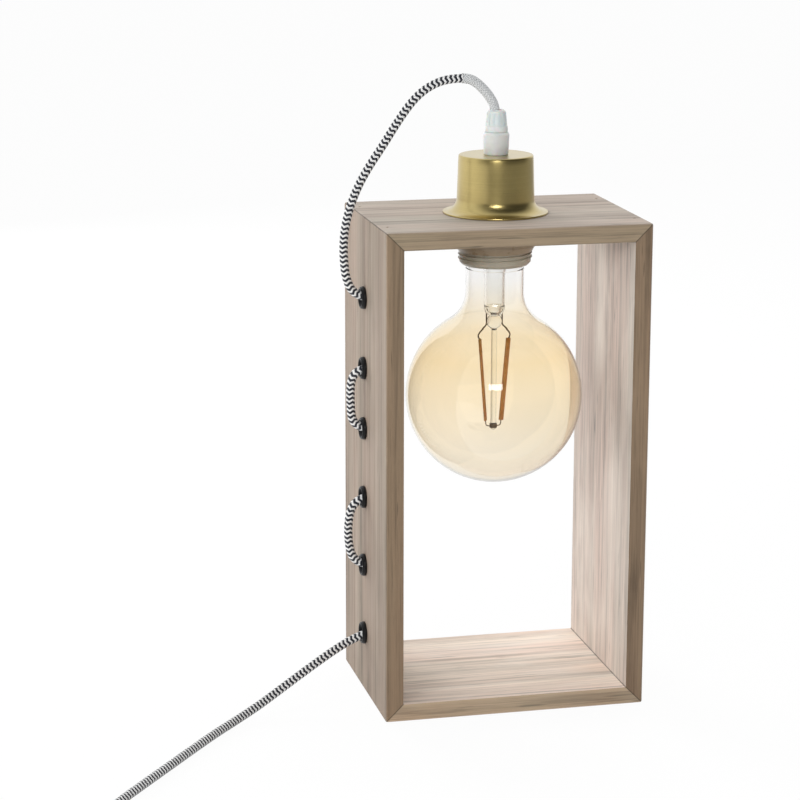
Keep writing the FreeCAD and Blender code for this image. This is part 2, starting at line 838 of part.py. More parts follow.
def coil_path():
    """Half turns of a spiral, clockwise from the far side, with the climb as two equal arcs."""
    low = coil_link_route[-1][2]
    start = V(coil_centre_x, switch_y, low)
    lead_in = vector(coil_link_route[-1])
    edges = [Part.LineSegment(lead_in, start).toShape()]
    half_turns = 2 * coil_turns_per_layer
    step = coil_pitch / 2
    inward = [coil_outer_radius - step * k for k in range(half_turns)]
    climb_radius = inward[-1] - step
    place = start
    side = -1
    for radius in inward:
        centre = place + V(0, side * radius, 0)
        middle = centre + V(-side * radius, 0, 0)
        end = centre + V(0, side * radius, 0)
        edges.append(Part.Arc(place, middle, end).toShape())
        place = end
        side = -side
    centre = place + V(0, side * climb_radius, 0)
    bulge = math.sqrt(climb_radius**2 + coil_layer**2 / 4)
    middle = centre + V(-side * bulge, 0, coil_layer / 2)
    end = centre + V(0, side * climb_radius, coil_layer)
    for a, b, tangent in ((place, middle, V(-side, 0, 0)), (end, middle, V(-side, 0, 0))):
        chord = b - a
        normal = (chord - tangent * chord.dot(tangent)).normalize()
        radius = chord.Length**2 / (2 * chord.dot(normal))
        hub = a + normal * radius
        halfway = ((a + b) / 2 - hub).normalize() * radius + hub
        if a == place:
            edges.append(Part.Arc(a, halfway, b).toShape())
        else:
            edges.append(Part.Arc(b, halfway, a).toShape())
    place = end
    side = -side
    for radius in reversed(inward):
        centre = place + V(0, side * radius, 0)
        middle = centre + V(-side * radius, 0, 0)
        end = centre + V(0, side * radius, 0)
        edges.append(Part.Arc(place, middle, end).toShape())
        place = end
        side = -side
    lead_out = place + V(-side * cord_diameter, 0, 0)
    edges.append(Part.LineSegment(place, lead_out).toShape())
    return Part.Wire(edges), lead_out


def least_gap(path):
    """The smallest clear space between the cord and itself, measured on points along it."""
    points = path.discretize(Distance=sample_step)
    reach = int(3 * cord_diameter / sample_step)
    nearest = min(
        (a - b).Length for i, a in enumerate(points) for b in points[i + reach:])
    return nearest - cord_diameter


def rounded_bar(low, high, width, rounding):
    """A bar along Y through two opposite corners of its XZ section, with its long edges rounded."""
    size = high - low
    bar = Part.makeBox(size.x, width, size.z, low - V(0, width / 2, 0))
    long_edges = [e for e in bar.Edges if abs(e.tangentAt(e.FirstParameter).y) > 0.9]
    return bar.makeFillet(rounding, long_edges)


def coil_tie(inner, outer, side, y):
    """A flat band round both layers, from the innermost to the outermost turn that it holds."""
    reach = section_reach(math.pi * cord_diameter**2 / 4, coil_sides) + tie_gap
    near = coil_centre_x + side * (inner - reach)
    far = coil_centre_x + side * (outer + reach)
    high = coil_link_route[-1][2] + coil_layer + reach
    low_corner = V(min(near, far), y, tie_thickness)
    high_corner = V(max(near, far), y, high)
    thick = V(tie_thickness, 0, tie_thickness)
    band = rounded_bar(low_corner - thick, high_corner + thick, tie_width, tie_rounding)
    return band.cut(rounded_bar(low_corner, high_corner, tie_width + 2, tie_rounding - tie_thickness))


def make_coil():
    path, lead_out = coil_path()
    print("coil: least gap to itself %.2f" % least_gap(path))
    save("cord_coil", swept_cord("cord_coil", path, cord_diameter, coil_sides))
    step = coil_pitch / 2
    innermost = coil_outer_radius - 2 * coil_turns_per_layer * step
    middle_y = switch_y - coil_outer_radius
    save("coil_ties",
         coil_tie(innermost, coil_outer_radius, 1, middle_y),
         coil_tie(innermost + step, coil_outer_radius - step, -1, middle_y))
    return path.Length, lead_out


# Flat two-pin mains plug, lying on its wide side

def plug_section(x, width, thickness, corner):
    y, z = width / 2, thickness / 2
    corners = [(-y, -z + corner), (-y + corner, -z), (y - corner, -z), (y, -z + corner),
               (y, z - corner), (y - corner, z), (-y + corner, z), (-y, z - corner)]
    _, middle_y, middle_z = plug_route[-1]
    points = [V(x, middle_y + a, middle_z + b) for a, b in corners]
    return Part.makePolygon(points + [points[0]])


def make_plug():
    end_x, middle_y, middle_z = plug_route[-1]
    neck_x = end_x - relief_length
    front_x = neck_x - plug_body_length
    relief = Part.makeLoft([
        plug_section(end_x, relief_end, relief_end, relief_end_corner),
        plug_section(neck_x, relief_root_width, relief_root_thickness, relief_root_corner)], True, True)
    slope_x = front_x + plug_flange + plug_flange_slope
    body = Part.makeLoft([
        plug_section(neck_x, plug_neck_width, plug_neck_thickness, plug_neck_corner),
        plug_section(neck_x - plug_shoulder, plug_front_width, plug_thickness, plug_corner),
        plug_section(slope_x, plug_front_width, plug_thickness, plug_corner),
        plug_section(front_x + plug_flange, plug_width, plug_thickness, plug_corner),
        plug_section(front_x, plug_width, plug_thickness, plug_corner)], True, True)
    save("plug_body", body.fuse(relief).removeSplitter())
    pins = []
    for side in (-1, 1):
        y = middle_y + side * plug_pin_spacing / 2
        pin = rod(plug_pin_diameter, (front_x, y, middle_z), (front_x - plug_pin_length, y, middle_z))
        tip = [e for e in pin.Edges if abs(e.BoundBox.XMax - (front_x - plug_pin_length)) < 0.01]
        pins.append(pin.makeFillet(plug_pin_rounding, tip))
    save("plug_pins", *pins)


def make_all():
    os.makedirs("parts", exist_ok=True)
    make_frame()
    make_eyelets()
    make_cup()
    nipple_top = make_nipple()
    make_grip(nipple_top)
    insert_high = make_holder()
    make_cores(insert_high, nipple_top - nipple_length)
    make_bulb()
    make_switch()
    total = cord_tube("cord_sleeve", sleeve_route, sleeve_diameter)
    total += cord_tube("cord_upper", upper_route, cord_diameter)
    total += cord_tube("cord_lacing", lacing_route, cord_diameter)
    total += cord_tube("cord_lead", lead_route, cord_diameter)
    total += cord_tube("coil_link", coil_link_route, cord_diameter)
    length, lead_out = make_coil()
    total += cord_tube("plug_link", plug_route, cord_diameter)
    make_plug()
    print("coil ends at", lead_out, "whole cord %.0f" % (total + length))


make_all()
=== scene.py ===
"""Looks of the bare bulb table lamp: washed wooden frame, brass cup, globe bulb and laced cord."""

import math

import bmesh
import bpy
from mathutils import Matrix, Vector


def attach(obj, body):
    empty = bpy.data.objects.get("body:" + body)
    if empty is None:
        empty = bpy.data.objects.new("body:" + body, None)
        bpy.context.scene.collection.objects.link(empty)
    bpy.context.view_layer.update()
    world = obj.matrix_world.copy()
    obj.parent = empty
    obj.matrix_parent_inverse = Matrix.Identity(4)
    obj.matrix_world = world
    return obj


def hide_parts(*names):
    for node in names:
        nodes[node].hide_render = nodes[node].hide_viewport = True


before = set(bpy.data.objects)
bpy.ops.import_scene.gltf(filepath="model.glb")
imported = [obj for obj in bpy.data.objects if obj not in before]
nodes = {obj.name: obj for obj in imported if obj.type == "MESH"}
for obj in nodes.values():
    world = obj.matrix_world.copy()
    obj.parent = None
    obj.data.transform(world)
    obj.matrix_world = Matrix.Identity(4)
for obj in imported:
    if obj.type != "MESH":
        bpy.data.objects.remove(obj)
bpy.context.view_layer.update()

# Camera at the photograph's viewing angle: a little from the left and from above.
camera_data = bpy.data.cameras.new("camera")
camera_data.sensor_width = 36.0
camera_data.lens = 117.74
camera = bpy.data.objects.new("camera", camera_data)
bpy.context.scene.collection.objects.link(camera)
camera.location = (-0.3588, -1.3247, 0.4872)
look = Vector((0.21966, 0.94752, -0.23227))
right = Vector((0.97426, -0.22542, 0.00180))
up = right.cross(look)
camera.rotation_mode = "QUATERNION"
camera.rotation_quaternion = Matrix((right, up, -look)).transposed().to_quaternion()
bpy.context.scene.camera = camera
bpy.context.scene.view_settings.view_transform = "Standard"

# Studio: a white floor and a white surround, both dimmer towards the front in what metal
# mirrors, with a key lamp from the left and others at the left front, behind, in front and above.
world = bpy.data.worlds.new("studio")
bpy.context.scene.world = world
world.use_nodes = True
sky = world.node_tree
sky.nodes.clear()
seen = sky.nodes.new("ShaderNodeLightPath")
either = sky.nodes.new("ShaderNodeMath")
either.operation = "MAXIMUM"
sky.links.new(seen.outputs["Is Camera Ray"], either.inputs[0])
sky.links.new(seen.outputs["Is Transmission Ray"], either.inputs[1])
shown = sky.nodes.new("ShaderNodeBackground")
shown.inputs["Color"].default_value = (1.0, 1.0, 1.0, 1.0)
shown.inputs["Strength"].default_value = 1.0
ambient = sky.nodes.new("ShaderNodeBackground")
ambient.inputs["Color"].default_value = (0.98, 0.99, 1.0, 1.0)
direction = sky.nodes.new("ShaderNodeTexCoord")
towards = sky.nodes.new("ShaderNodeSeparateXYZ")
sky.links.new(direction.outputs["Generated"], towards.inputs[0])
behind = sky.nodes.new("ShaderNodeMapRange")
behind.inputs["From Min"].default_value = -0.35
behind.inputs["From Max"].default_value = 0.45
behind.inputs["To Min"].default_value = 0.34
behind.inputs["To Max"].default_value = 0.95
sky.links.new(towards.outputs["Y"], behind.inputs["Value"])
mirrored_sky = sky.nodes.new("ShaderNodeMapRange")
mirrored_sky.inputs["From Min"].default_value = -0.4
mirrored_sky.inputs["From Max"].default_value = 0.3
mirrored_sky.inputs["To Min"].default_value = 0.06
mirrored_sky.inputs["To Max"].default_value = 1.0
left_and_back = sky.nodes.new("ShaderNodeVectorMath")
left_and_back.operation = "DOT_PRODUCT"
left_and_back.inputs[1].default_value = (-0.4, 0.9, 0.0)
sky.links.new(direction.outputs["Generated"], left_and_back.inputs[0])
sky.links.new(left_and_back.outputs["Value"], mirrored_sky.inputs["Value"])
mirror = sky.nodes.new("ShaderNodeMix")
sky.links.new(seen.outputs["Is Glossy Ray"], mirror.inputs[0])
sky.links.new(behind.outputs[0], mirror.inputs[2])
sky.links.new(mirrored_sky.outputs[0], mirror.inputs[3])
sky.links.new(mirror.outputs[0], ambient.inputs["Strength"])
choose = sky.nodes.new("ShaderNodeMixShader")
sky_out = sky.nodes.new("ShaderNodeOutputWorld")
sky.links.new(either.outputs[0], choose.inputs[0])
sky.links.new(ambient.outputs[0], choose.inputs[1])
sky.links.new(shown.outputs[0], choose.inputs[2])
sky.links.new(choose.outputs[0], sky_out.inputs["Surface"])

floor_mesh = bpy.data.meshes.new("floor")
sheet = bmesh.new()
bmesh.ops.create_grid(sheet, x_segments=1, y_segments=1, size=40.0)
sheet.to_mesh(floor_mesh)
sheet.free()
floor = bpy.data.objects.new("floor", floor_mesh)
bpy.context.scene.collection.objects.link(floor)
floor.location.z = -0.0004
white_floor = bpy.data.materials.new("white_floor")
white_floor.use_nodes = True
tree = white_floor.node_tree
tree.nodes.clear()
paint = tree.nodes.new("ShaderNodeBsdfDiffuse")
paint.inputs["Color"].default_value = (0.9, 0.9, 0.9, 1.0)
bright = tree.nodes.new("ShaderNodeEmission")
bright.inputs["Color"].default_value = (1.0, 1.0, 1.0, 1.0)
bright.inputs["Strength"].default_value = 1.0
rays = tree.nodes.new("ShaderNodeLightPath")
see = tree.nodes.new("ShaderNodeMath")
see.operation = "MAXIMUM"
tree.links.new(rays.outputs["Is Camera Ray"], see.inputs[0])
tree.links.new(rays.outputs["Is Transmission Ray"], see.inputs[1])
share = tree.nodes.new("ShaderNodeMath")
share.operation = "MULTIPLY"
share.inputs[1].default_value = 0.95
tree.links.new(see.outputs[0], share.inputs[0])
blend_floor = tree.nodes.new("ShaderNodeMixShader")
floor_out = tree.nodes.new("ShaderNodeOutputMaterial")
tree.links.new(share.outputs[0], blend_floor.inputs[0])
tree.links.new(paint.outputs[0], blend_floor.inputs[1])
tree.links.new(bright.outputs[0], blend_floor.inputs[2])
spot = tree.nodes.new("ShaderNodeNewGeometry")
far_left = tree.nodes.new("ShaderNodeVectorMath")
far_left.operation = "DOT_PRODUCT"
far_left.inputs[1].default_value = (-0.9, 0.75, 0.0)
tree.links.new(spot.outputs["Position"], far_left.inputs[0])
dim = tree.nodes.new("ShaderNodeMapRange")
dim.inputs["From Min"].default_value = -0.4
dim.inputs["From Max"].default_value = 0.3
dim.inputs["To Min"].default_value = 0.35
dim.inputs["To Max"].default_value = 1.0
tree.links.new(far_left.outputs["Value"], dim.inputs["Value"])
mirrored_floor = tree.nodes.new("ShaderNodeEmission")
tree.links.new(dim.outputs[0], mirrored_floor.inputs["Strength"])
in_gloss = tree.nodes.new("ShaderNodeMixShader")
tree.links.new(rays.outputs["Is Glossy Ray"], in_gloss.inputs[0])
tree.links.new(blend_floor.outputs[0], in_gloss.inputs[1])
tree.links.new(mirrored_floor.outputs[0], in_gloss.inputs[2])
tree.links.new(in_gloss.outputs[0], floor_out.inputs["Surface"])
floor_mesh.materials.append(white_floor)

for name, place, aim, width, height, power, mirrored in (
        ("key", (-1.45, -0.05, 0.62), (0.0, 0.0, 0.13), 0.6, 0.6, 3.2, False),
        ("inside", (-1.0, -1.05, 0.72), (0.02, 0.0, 0.1), 0.6, 0.6, 6.0, False),
        ("behind", (-0.45, 1.3, 0.5), (0.03, 0.0, 0.05), 0.6, 0.6, 14.0, False),
        ("front", (-0.31, -1.46, 0.736), (0.0, 0.0, 0.17), 0.5, 0.2, 4.8, True),
        ("top", (0.25, 0.45, 1.25), (0.0, 0.0, 0.2), 0.6, 0.6, 2.5, False)):
    lamp_data = bpy.data.lights.new(name, "AREA")
    lamp_data.shape = "RECTANGLE"
    lamp_data.size = width
    lamp_data.size_y = height
    lamp_data.energy = power
    lamp = bpy.data.objects.new(name, lamp_data)
    bpy.context.scene.collection.objects.link(lamp)
    lamp.visible_camera = False
    lamp.visible_transmission = False
    lamp.visible_glossy = mirrored
    lamp.location = place
    lamp.rotation_mode = "QUATERNION"
    lamp.rotation_quaternion = (Vector(aim) - Vector(place)).to_track_quat("-Z", "Y")

# Wooden frame: four boards of light, white-washed wood, mitred and glued at the corners.
# The grain runs along each board. Each board's base colour is lighter or darker in painted light and shade, and
# its front and back edges are darker than its faces in painted shade.
def new_finish(name):
    """A material with a Principled shader, its tree and the shader."""
    finish = bpy.data.materials.new(name)
    finish.use_nodes = True
    graph = finish.node_tree
    graph.nodes.clear()
    shader = graph.nodes.new("ShaderNodeBsdfPrincipled")
    out = graph.nodes.new("ShaderNodeOutputMaterial")
    graph.links.new(shader.outputs[0], out.inputs["Surface"])
    return finish, graph, shader


def placed(graph, scale, shift=(0.0, 0.0, 0.0), source="Object"):
    """Object coordinates of the piece, scaled and shifted for one pattern."""
    where = graph.nodes.new("ShaderNodeTexCoord")
    mapping = graph.nodes.new("ShaderNodeMapping")
    mapping.inputs["Scale"].default_value = scale
    mapping.inputs["Location"].default_value = shift
    graph.links.new(where.outputs[source], mapping.inputs["Vector"])
    return mapping.outputs["Vector"]


def noise(graph, vector, scale=1.0, detail=4.0, roughness=0.55, distortion=0.0):
    cloud = graph.nodes.new("ShaderNodeTexNoise")
    cloud.inputs["Scale"].default_value = scale
    cloud.inputs["Detail"].default_value = detail
    cloud.inputs["Roughness"].default_value = roughness
    cloud.inputs["Distortion"].default_value = distortion
    graph.links.new(vector, cloud.inputs["Vector"])
    return cloud.outputs["Fac"]


def ramp(graph, value, stops):
    """Colours between the stops, each a position and a colour or grey level."""
    band = graph.nodes.new("ShaderNodeValToRGB")
    elements = band.color_ramp.elements
    while len(elements) < len(stops):
        elements.new(0.5)
    for element, (position, colour) in zip(elements, stops):
        element.position = position
        level = colour if isinstance(colour, tuple) else (colour, colour, colour)
        element.color = (*level, 1.0)
    graph.links.new(value, band.inputs["Fac"])
    return band.outputs["Color"]


def mixed(graph, kind, amount, first, second):
    """Two colours mixed; the amount is a number or a socket."""
    mix = graph.nodes.new("ShaderNodeMix")
    mix.data_type = "RGBA"
    mix.blend_type = kind
    for socket, value in ((mix.inputs[0], amount), (mix.inputs[6], first), (mix.inputs[7], second)):
        if isinstance(value, bpy.types.NodeSocket):
            graph.links.new(value, socket)
        else:
            socket.default_value = value if isinstance(value, float) else (*value, 1.0)
    return mix.outputs[2]


def bumped(graph, shader, height, strength, distance):
    relief = graph.nodes.new("ShaderNodeBump")
    relief.inputs["Strength"].default_value = strength
    relief.inputs["Distance"].default_value = distance
    graph.links.new(height, relief.inputs["Height"])
    graph.links.new(relief.outputs["Normal"], shader.inputs["Normal"])


def worked(graph, operation, first, second=0.0, third=0.0):
    """One step of arithmetic on numbers or sockets."""
    sum_node = graph.nodes.new("ShaderNodeMath")
    sum_node.operation = operation
    for socket, value in zip(sum_node.inputs, (first, second, third)):
        if isinstance(value, bpy.types.NodeSocket):
            graph.links.new(value, socket)
        else:
            socket.default_value = value
    return sum_node.outputs[0]


def washed_wood(name, upright, shift, painted_light_tint, painted_edge_shade, washed):
    """Pale wood whose grain runs up the board or along it, with white wash in its pores; its base colour is
    lighter or darker per board in painted light and shade, and its front and back edges are darkened in painted
    shade.
    """
    finish, graph, shader = new_finish(name)

    def grain(along, across):
        scale = (across, across, along) if upright else (along, across, across)
        return placed(graph, scale, shift)

    bands = noise(graph, grain(0.9, 62.0), 1.0, 2.5, 0.5, 0.25)
    body = ramp(graph, bands, [
        (0.25, tuple(c * 0.80 for c in painted_light_tint)), (0.42, tuple(c * 0.96 for c in painted_light_tint)),
        (0.55, painted_light_tint), (0.75, tuple(min(1.0, c * 1.1 + 0.01) for c in painted_light_tint))])
    warmth = noise(graph, grain(3.0, 34.0), 1.0, 2.0, 0.5, 0.3)
    rosy = ramp(graph, warmth, [(0.38, (0.97, 1.0, 0.99)), (0.62, (1.05, 0.985, 0.975))])
    body = mixed(graph, "MULTIPLY", 0.9, body, rosy)
    figure = noise(graph, grain(5.0, 210.0), 1.0, 6.0, 0.6, 0.6)
    lines = ramp(graph, figure, [(0.34, 0.58), (0.46, 0.92), (0.58, 1.02), (0.72, 1.12)])
    body = mixed(graph, "MULTIPLY", 0.95, body, lines)
    fibre = noise(graph, grain(22.0, 1300.0), 1.0, 3.0, 0.65)
    threads = ramp(graph, fibre, [(0.32, 0.66), (0.5, 1.0), (0.75, 1.12)])
    body = mixed(graph, "MULTIPLY", 0.85, body, threads)
    pores = noise(graph, grain(30.0, 620.0), 1.0, 2.0, 0.5)
    specks = ramp(graph, pores, [(0.27, 1.0), (0.33, 0.0)])
    body = mixed(graph, "MIX", specks, body, tuple(c * 0.45 for c in painted_light_tint))
    cloudy = noise(graph, grain(9.0, 30.0), 1.0, 5.0, 0.6, 0.4)
    wash = ramp(graph, cloudy, [(0.45, 0.0), (0.72, washed)])
    body = mixed(graph, "MIX", wash, body, tuple(min(0.9, c * 1.35 + 0.05) for c in painted_light_tint))
    across = graph.nodes.new("ShaderNodeSeparateXYZ")
    graph.links.new(placed(graph, (1.0, 1.0, 1.0)), across.inputs[0])
    half_width, full_height = 0.071, 0.262
    from_side = worked(graph, "SUBTRACT", half_width, worked(graph, "ABSOLUTE", across.outputs["X"]))
    from_top = worked(graph, "SUBTRACT", full_height, across.outputs["Z"])
    from_end = worked(graph, "MINIMUM", across.outputs["Z"], from_top)
    from_joint = worked(graph, "ABSOLUTE", worked(graph, "SUBTRACT", from_side, from_end))
    glue = ramp(graph, worked(graph, "MULTIPLY", from_joint, 1000.0), [(0.2, 0.42), (0.55, 1.0)])
    body = mixed(graph, "MULTIPLY", 1.0, body, glue)
    # Painted shade: the faces that look along Y, the front and back edges, are darkened.
    if painted_edge_shade:
        face = graph.nodes.new("ShaderNodeNewGeometry")
        parts = graph.nodes.new("ShaderNodeSeparateXYZ")
        graph.links.new(face.outputs["True Normal"], parts.inputs[0])
        facing = worked(graph, "ABSOLUTE", parts.outputs["Y"])
        edge = ramp(graph, facing, [(0.5, 0.0), (0.95, 1.0)])
        body = mixed(graph, "MULTIPLY", edge, body, painted_edge_shade)
    graph.links.new(body, shader.inputs["Base Color"])
    gloss = ramp(graph, figure, [(0.3, 0.74), (0.8, 0.56)])
    graph.links.new(gloss, shader.inputs["Roughness"])
    bumped(graph, shader, fibre, 0.35, 0.00025)
    return finish


# Per board: grain upright or not, pattern shift, base colour with painted light and shade, colour of the painted
# shade on the front and back edges, amount of wash.
boards = {
    "top_board": (False, (0.3, 1.7, 0.0), (0.47, 0.41, 0.345), (0.69, 0.63, 0.49), 0.35),
    "bottom_board": (False, (2.1, 0.4, 3.0), (0.82, 0.69, 0.59), (0.60, 0.545, 0.43), 0.45),
    "left_board": (True, (5.2, 7.4, 1.3), (0.305, 0.243, 0.19), (0.80, 0.69, 0.54), 0.22),
    "right_board": (True, (1.6, 3.9, 8.2), (0.66, 0.57, 0.505), (0.39, 0.30, 0.21), 0.7),
}


def dress(finish, *names):
    """Gives nodes a finish in place of the one they came with."""
    for name in names:
        nodes[name].data.materials.clear()
        nodes[name].data.materials.append(finish)


for board, (upright, shift, painted_light_tint, painted_edge_shade, washed) in boards.items():
    dress(washed_wood("washed_wood_painted_light_" + board, upright, shift, painted_light_tint, painted_edge_shade, washed), board)

# Corner pins: headless bright steel pins through each mitre, set just below the surface.
# The nipple, its nut and the screws of holder and switch have the same zinc plating.
def bright_steel(name, colour, roughness, scratch):
    finish, graph, shader = new_finish(name)
    shader.inputs["Metallic"].default_value = 1.0
    wear = noise(graph, placed(graph, (700.0, 700.0, 700.0)), 1.0, 5.0, 0.6)
    tone = ramp(graph, wear, [(0.3, tuple(c * 0.86 for c in colour)), (0.7, colour)])
    graph.links.new(tone, shader.inputs["Base Color"])
    sheen = ramp(graph, wear, [(0.25, roughness * 0.75), (0.75, roughness * 1.35)])
    graph.links.new(sheen, shader.inputs["Roughness"])
    bumped(graph, shader, wear, scratch, 0.00008)
    return finish


zinc = bright_steel("zinc_plated_steel", (0.66, 0.67, 0.68), 0.3, 0.15)
dress(zinc, "corner_pins", "fixing_nipple", "nipple_nut", "terminal_screws", "switch_screws")

# Eyelets: six domed steel rings in glossy black enamel, pressed into the cord holes of the
# left board, where they keep the wood's edge from wearing the cord.
def link_piece(name, mesh, body, finish, smooth=True):
    """Puts a finished bmesh into the scene as a piece that rides on a body."""
    bmesh.ops.remove_doubles(mesh, verts=mesh.verts, dist=1e-6)
    bmesh.ops.recalc_face_normals(mesh, faces=mesh.faces)
    data = bpy.data.meshes.new(name)
    mesh.to_mesh(data)
    mesh.free()
    if smooth:
        data.shade_smooth()
        data.set_sharp_from_angle(angle=math.radians(38))
    data.materials.append(finish)
    piece = bpy.data.objects.new(name, data)
    bpy.context.scene.collection.objects.link(piece)
    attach(piece, body)
    return piece


def turned(mesh, outline, steps=72, closed=True):
    """Spins an outline of (radius, z) points in mm about a vertical axis and closes it."""
    rim = [mesh.verts.new((r / 1000, 0.0, z / 1000)) for r, z in outline]
    edges = [mesh.edges.new(pair) for pair in zip(rim, rim[1:])]
    if closed:
        edges.append(mesh.edges.new((rim[-1], rim[0])))
    bmesh.ops.spin(
        mesh, geom=rim + edges, cent=(0.0, 0.0, 0.0), axis=(0.0, 0.0, 1.0),
        angle=math.tau, steps=steps, use_merge=True)
    ring = [v for v in mesh.verts if v.link_faces]
    bmesh.ops.remove_doubles(mesh, verts=ring, dist=1e-7)


def eased(points, bend=3):
    """The outline with its corners marked by a number rounded off by that radius, in mm."""
    out = []
    count = len(points)
    for index, (r, z, radius) in enumerate(points):
        corner = Vector((r, z))
        if not radius:
            out.append((r, z))
            continue
        before = Vector(points[index - 1][:2])
        after = Vector(points[(index + 1) % count][:2])
        into = (corner - before).normalized()
        leave = (after - corner).normalized()
        half = into.angle(leave) / 2
        longest = 0.48 * min((corner - before).length, (after - corner).length)
        reach = min(radius * math.tan(half), longest)
        start = corner - into * reach
        end = corner + leave * reach
        for step in range(bend + 1):
            share = step / bend
            point = (1 - share) ** 2 * start + 2 * share * (1 - share) * corner + share**2 * end
            out.append((point.x, point.y))
    return out


enamel, graph, shader = new_finish("black_enamel")
dust = noise(graph, placed(graph, (260.0, 260.0, 260.0)), 1.0, 4.0, 0.6)
graph.links.new(ramp(graph, dust, [(0.4, (0.003, 0.003, 0.0035)), (0.75, (0.007, 0.007, 0.008))]),
                shader.inputs["Base Color"])
graph.links.new(ramp(graph, dust, [(0.3, 0.28), (0.8, 0.45)]), shader.inputs["Roughness"])
shader.inputs["Specular IOR Level"].default_value = 0.3
bumped(graph, shader, dust, 0.06, 0.0001)
hole_heights = (219.0, 181.0, 148.0, 110.0, 72.0, 33.5)
eyelets = bmesh.new()
for z in hole_heights:
    one = bmesh.new()
    turned(one, eased([
        (4.2, -9.4, 0.3), (4.88, -9.4, 0.2), (4.88, 0.02, 0), (6.05, 0.02, 0.2), (6.05, 1.2, 0.7),
        (5.5, 2.5, 0.7), (4.8, 2.5, 0.6), (4.2, 1.2, 0.6)]), 40)
    sideways = Matrix.Rotation(math.radians(-90), 3, "Y")
    bmesh.ops.rotate(one, verts=one.verts, cent=(0, 0, 0), matrix=sideways)
    bmesh.ops.translate(one, verts=one.verts, vec=(-0.071, 0.0, z / 1000))
    held = bpy.data.meshes.new("held")
    one.to_mesh(held)
    one.free()
    eyelets.from_mesh(held)
    bpy.data.meshes.remove(held)
eyelet_rings = link_piece("eyelet_rings", eyelets, "lamp", enamel)
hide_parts("cord_eyelets")

# Brass cup: spun from sheet with a flared foot and a rounded top edge, satin lacquered.
# It stands on the top board and covers the holder's cap; the nipple's nut holds it down.
brass, graph, shader = new_finish("satin_brass")
shader.inputs["Metallic"].default_value = 1.0
rounds = noise(graph, placed(graph, (9.0, 9.0, 1500.0)), 1.0, 2.0, 0.5)
cloud = noise(graph, placed(graph, (60.0, 60.0, 60.0)), 1.0, 5.0, 0.6)
tone = ramp(graph, rounds, [
    (0.3, (0.60, 0.47, 0.18)), (0.55, (0.62, 0.49, 0.19)), (0.8, (0.65, 0.52, 0.21))])
patina = ramp(graph, cloud, [(0.35, 0.86), (0.65, 1.0)])
graph.links.new(mixed(graph, "MULTIPLY", 0.8, tone, patina), shader.inputs["Base Color"])
graph.links.new(ramp(graph, rounds, [(0.3, 0.27), (0.75, 0.34)]), shader.inputs["Roughness"])
shader.inputs["Coat Weight"].default_value = 0.4
shader.inputs["Coat Roughness"].default_value = 0.2
bumped(graph, shader, rounds, 0.008, 0.0001)
flare = [(27.6 - 7.0 * math.sin(a), 270.0 - 7.0 * math.cos(a))
         for a in (math.radians(d) for d in range(0, 91, 9))]
inner_flare = [(27.6 - 7.8 * math.sin(a), 270.0 - 7.8 * math.cos(a))
               for a in (math.radians(d) for d in range(90, 14, -15))]
cup = bmesh.new()
outline = [(27.55, 262.03), (27.9, 262.2), (28.0, 262.6), (27.85, 262.95)] + flare[1:]
outline += [(20.4, 276.0), (20.2, 282.0), (20.0, 289.0)]
outline += eased([(19.85, 291.0, 0), (19.8, 293.0, 1.6), (15.0, 293.0, 0)])[1:-1]
outline += [(17.0, 293.0), (11.0, 293.0)]
outline += [(5.1, 293.0), (5.1, 292.2), (18.2, 292.2), (19.0, 291.4), (19.4, 278.0)] + inner_flare
turned(cup, outline + [(25.6, 262.03)], 96)
brass_cup = link_piece("spun_brass_cup", cup, "lamp", brass)
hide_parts("brass_cup")

# Cord grip: a white nylon base screwed on the nipple and a tapered nut that clamps the cord.
nylon, graph, shader = new_finish("white_nylon")
mist = noise(graph, placed(graph, (180.0, 180.0, 180.0)), 1.0, 4.0, 0.5)
graph.links.new(ramp(graph, mist, [(0.35, (0.66, 0.67, 0.65)), (0.7, (0.76, 0.77, 0.75))]),
                shader.inputs["Base Color"])
graph.links.new(ramp(graph, mist, [(0.3, 0.30), (0.7, 0.42)]), shader.inputs["Roughness"])
shader.inputs["Subsurface Weight"].default_value = 0.25
shader.inputs["Subsurface Scale"].default_value = 0.003
bumped(graph, shader, mist, 0.05, 0.0001)
grip = bmesh.new()
turned(grip, eased([
    (5.08, 293.02, 0), (6.4, 293.02, 0.3), (6.55, 294.0, 0.3), (6.95, 303.6, 0.6), (6.3, 304.98, 0.5),
    (1.95, 304.98, 0), (1.95, 299.62, 0), (5.08, 299.62, 0)]), 48)
grip_base = link_piece("grip_base", grip, "lamp", nylon)
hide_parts("cord_grip_base")
grip = bmesh.new()
turned(grip, eased([
    (1.95, 305.02, 0), (6.05, 305.02, 0.4), (6.1, 306.2, 0.3), (5.95, 308.0, 0.4), (5.7, 308.3, 0.3),
    (4.8, 315.7, 0.6), (3.9, 316.58, 0.5), (2.87, 316.58, 0.2), (2.87, 307.62, 0), (1.95, 307.62, 0)]), 48)
for k in range(12):
    angle = math.tau * k / 12
    rib = bmesh.ops.create_cube(grip, size=1.0)["verts"]
    bmesh.ops.scale(grip, verts=rib, vec=(0.0009, 0.0009, 0.0066))
    bmesh.ops.translate(grip, verts=rib, vec=(0.00497, 0.0, 0.3118))
    inwards = Matrix.Rotation(math.radians(-6), 3, "Y")
    bmesh.ops.rotate(grip, verts=rib, cent=(0.00497, 0, 0.3118), matrix=inwards)
    bmesh.ops.rotate(grip, verts=rib, cent=(0, 0, 0), matrix=Matrix.Rotation(angle, 3, "Z"))
grip_nut = link_piece("grip_nut", grip, "lamp", nylon)
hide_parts("cord_grip_nut")
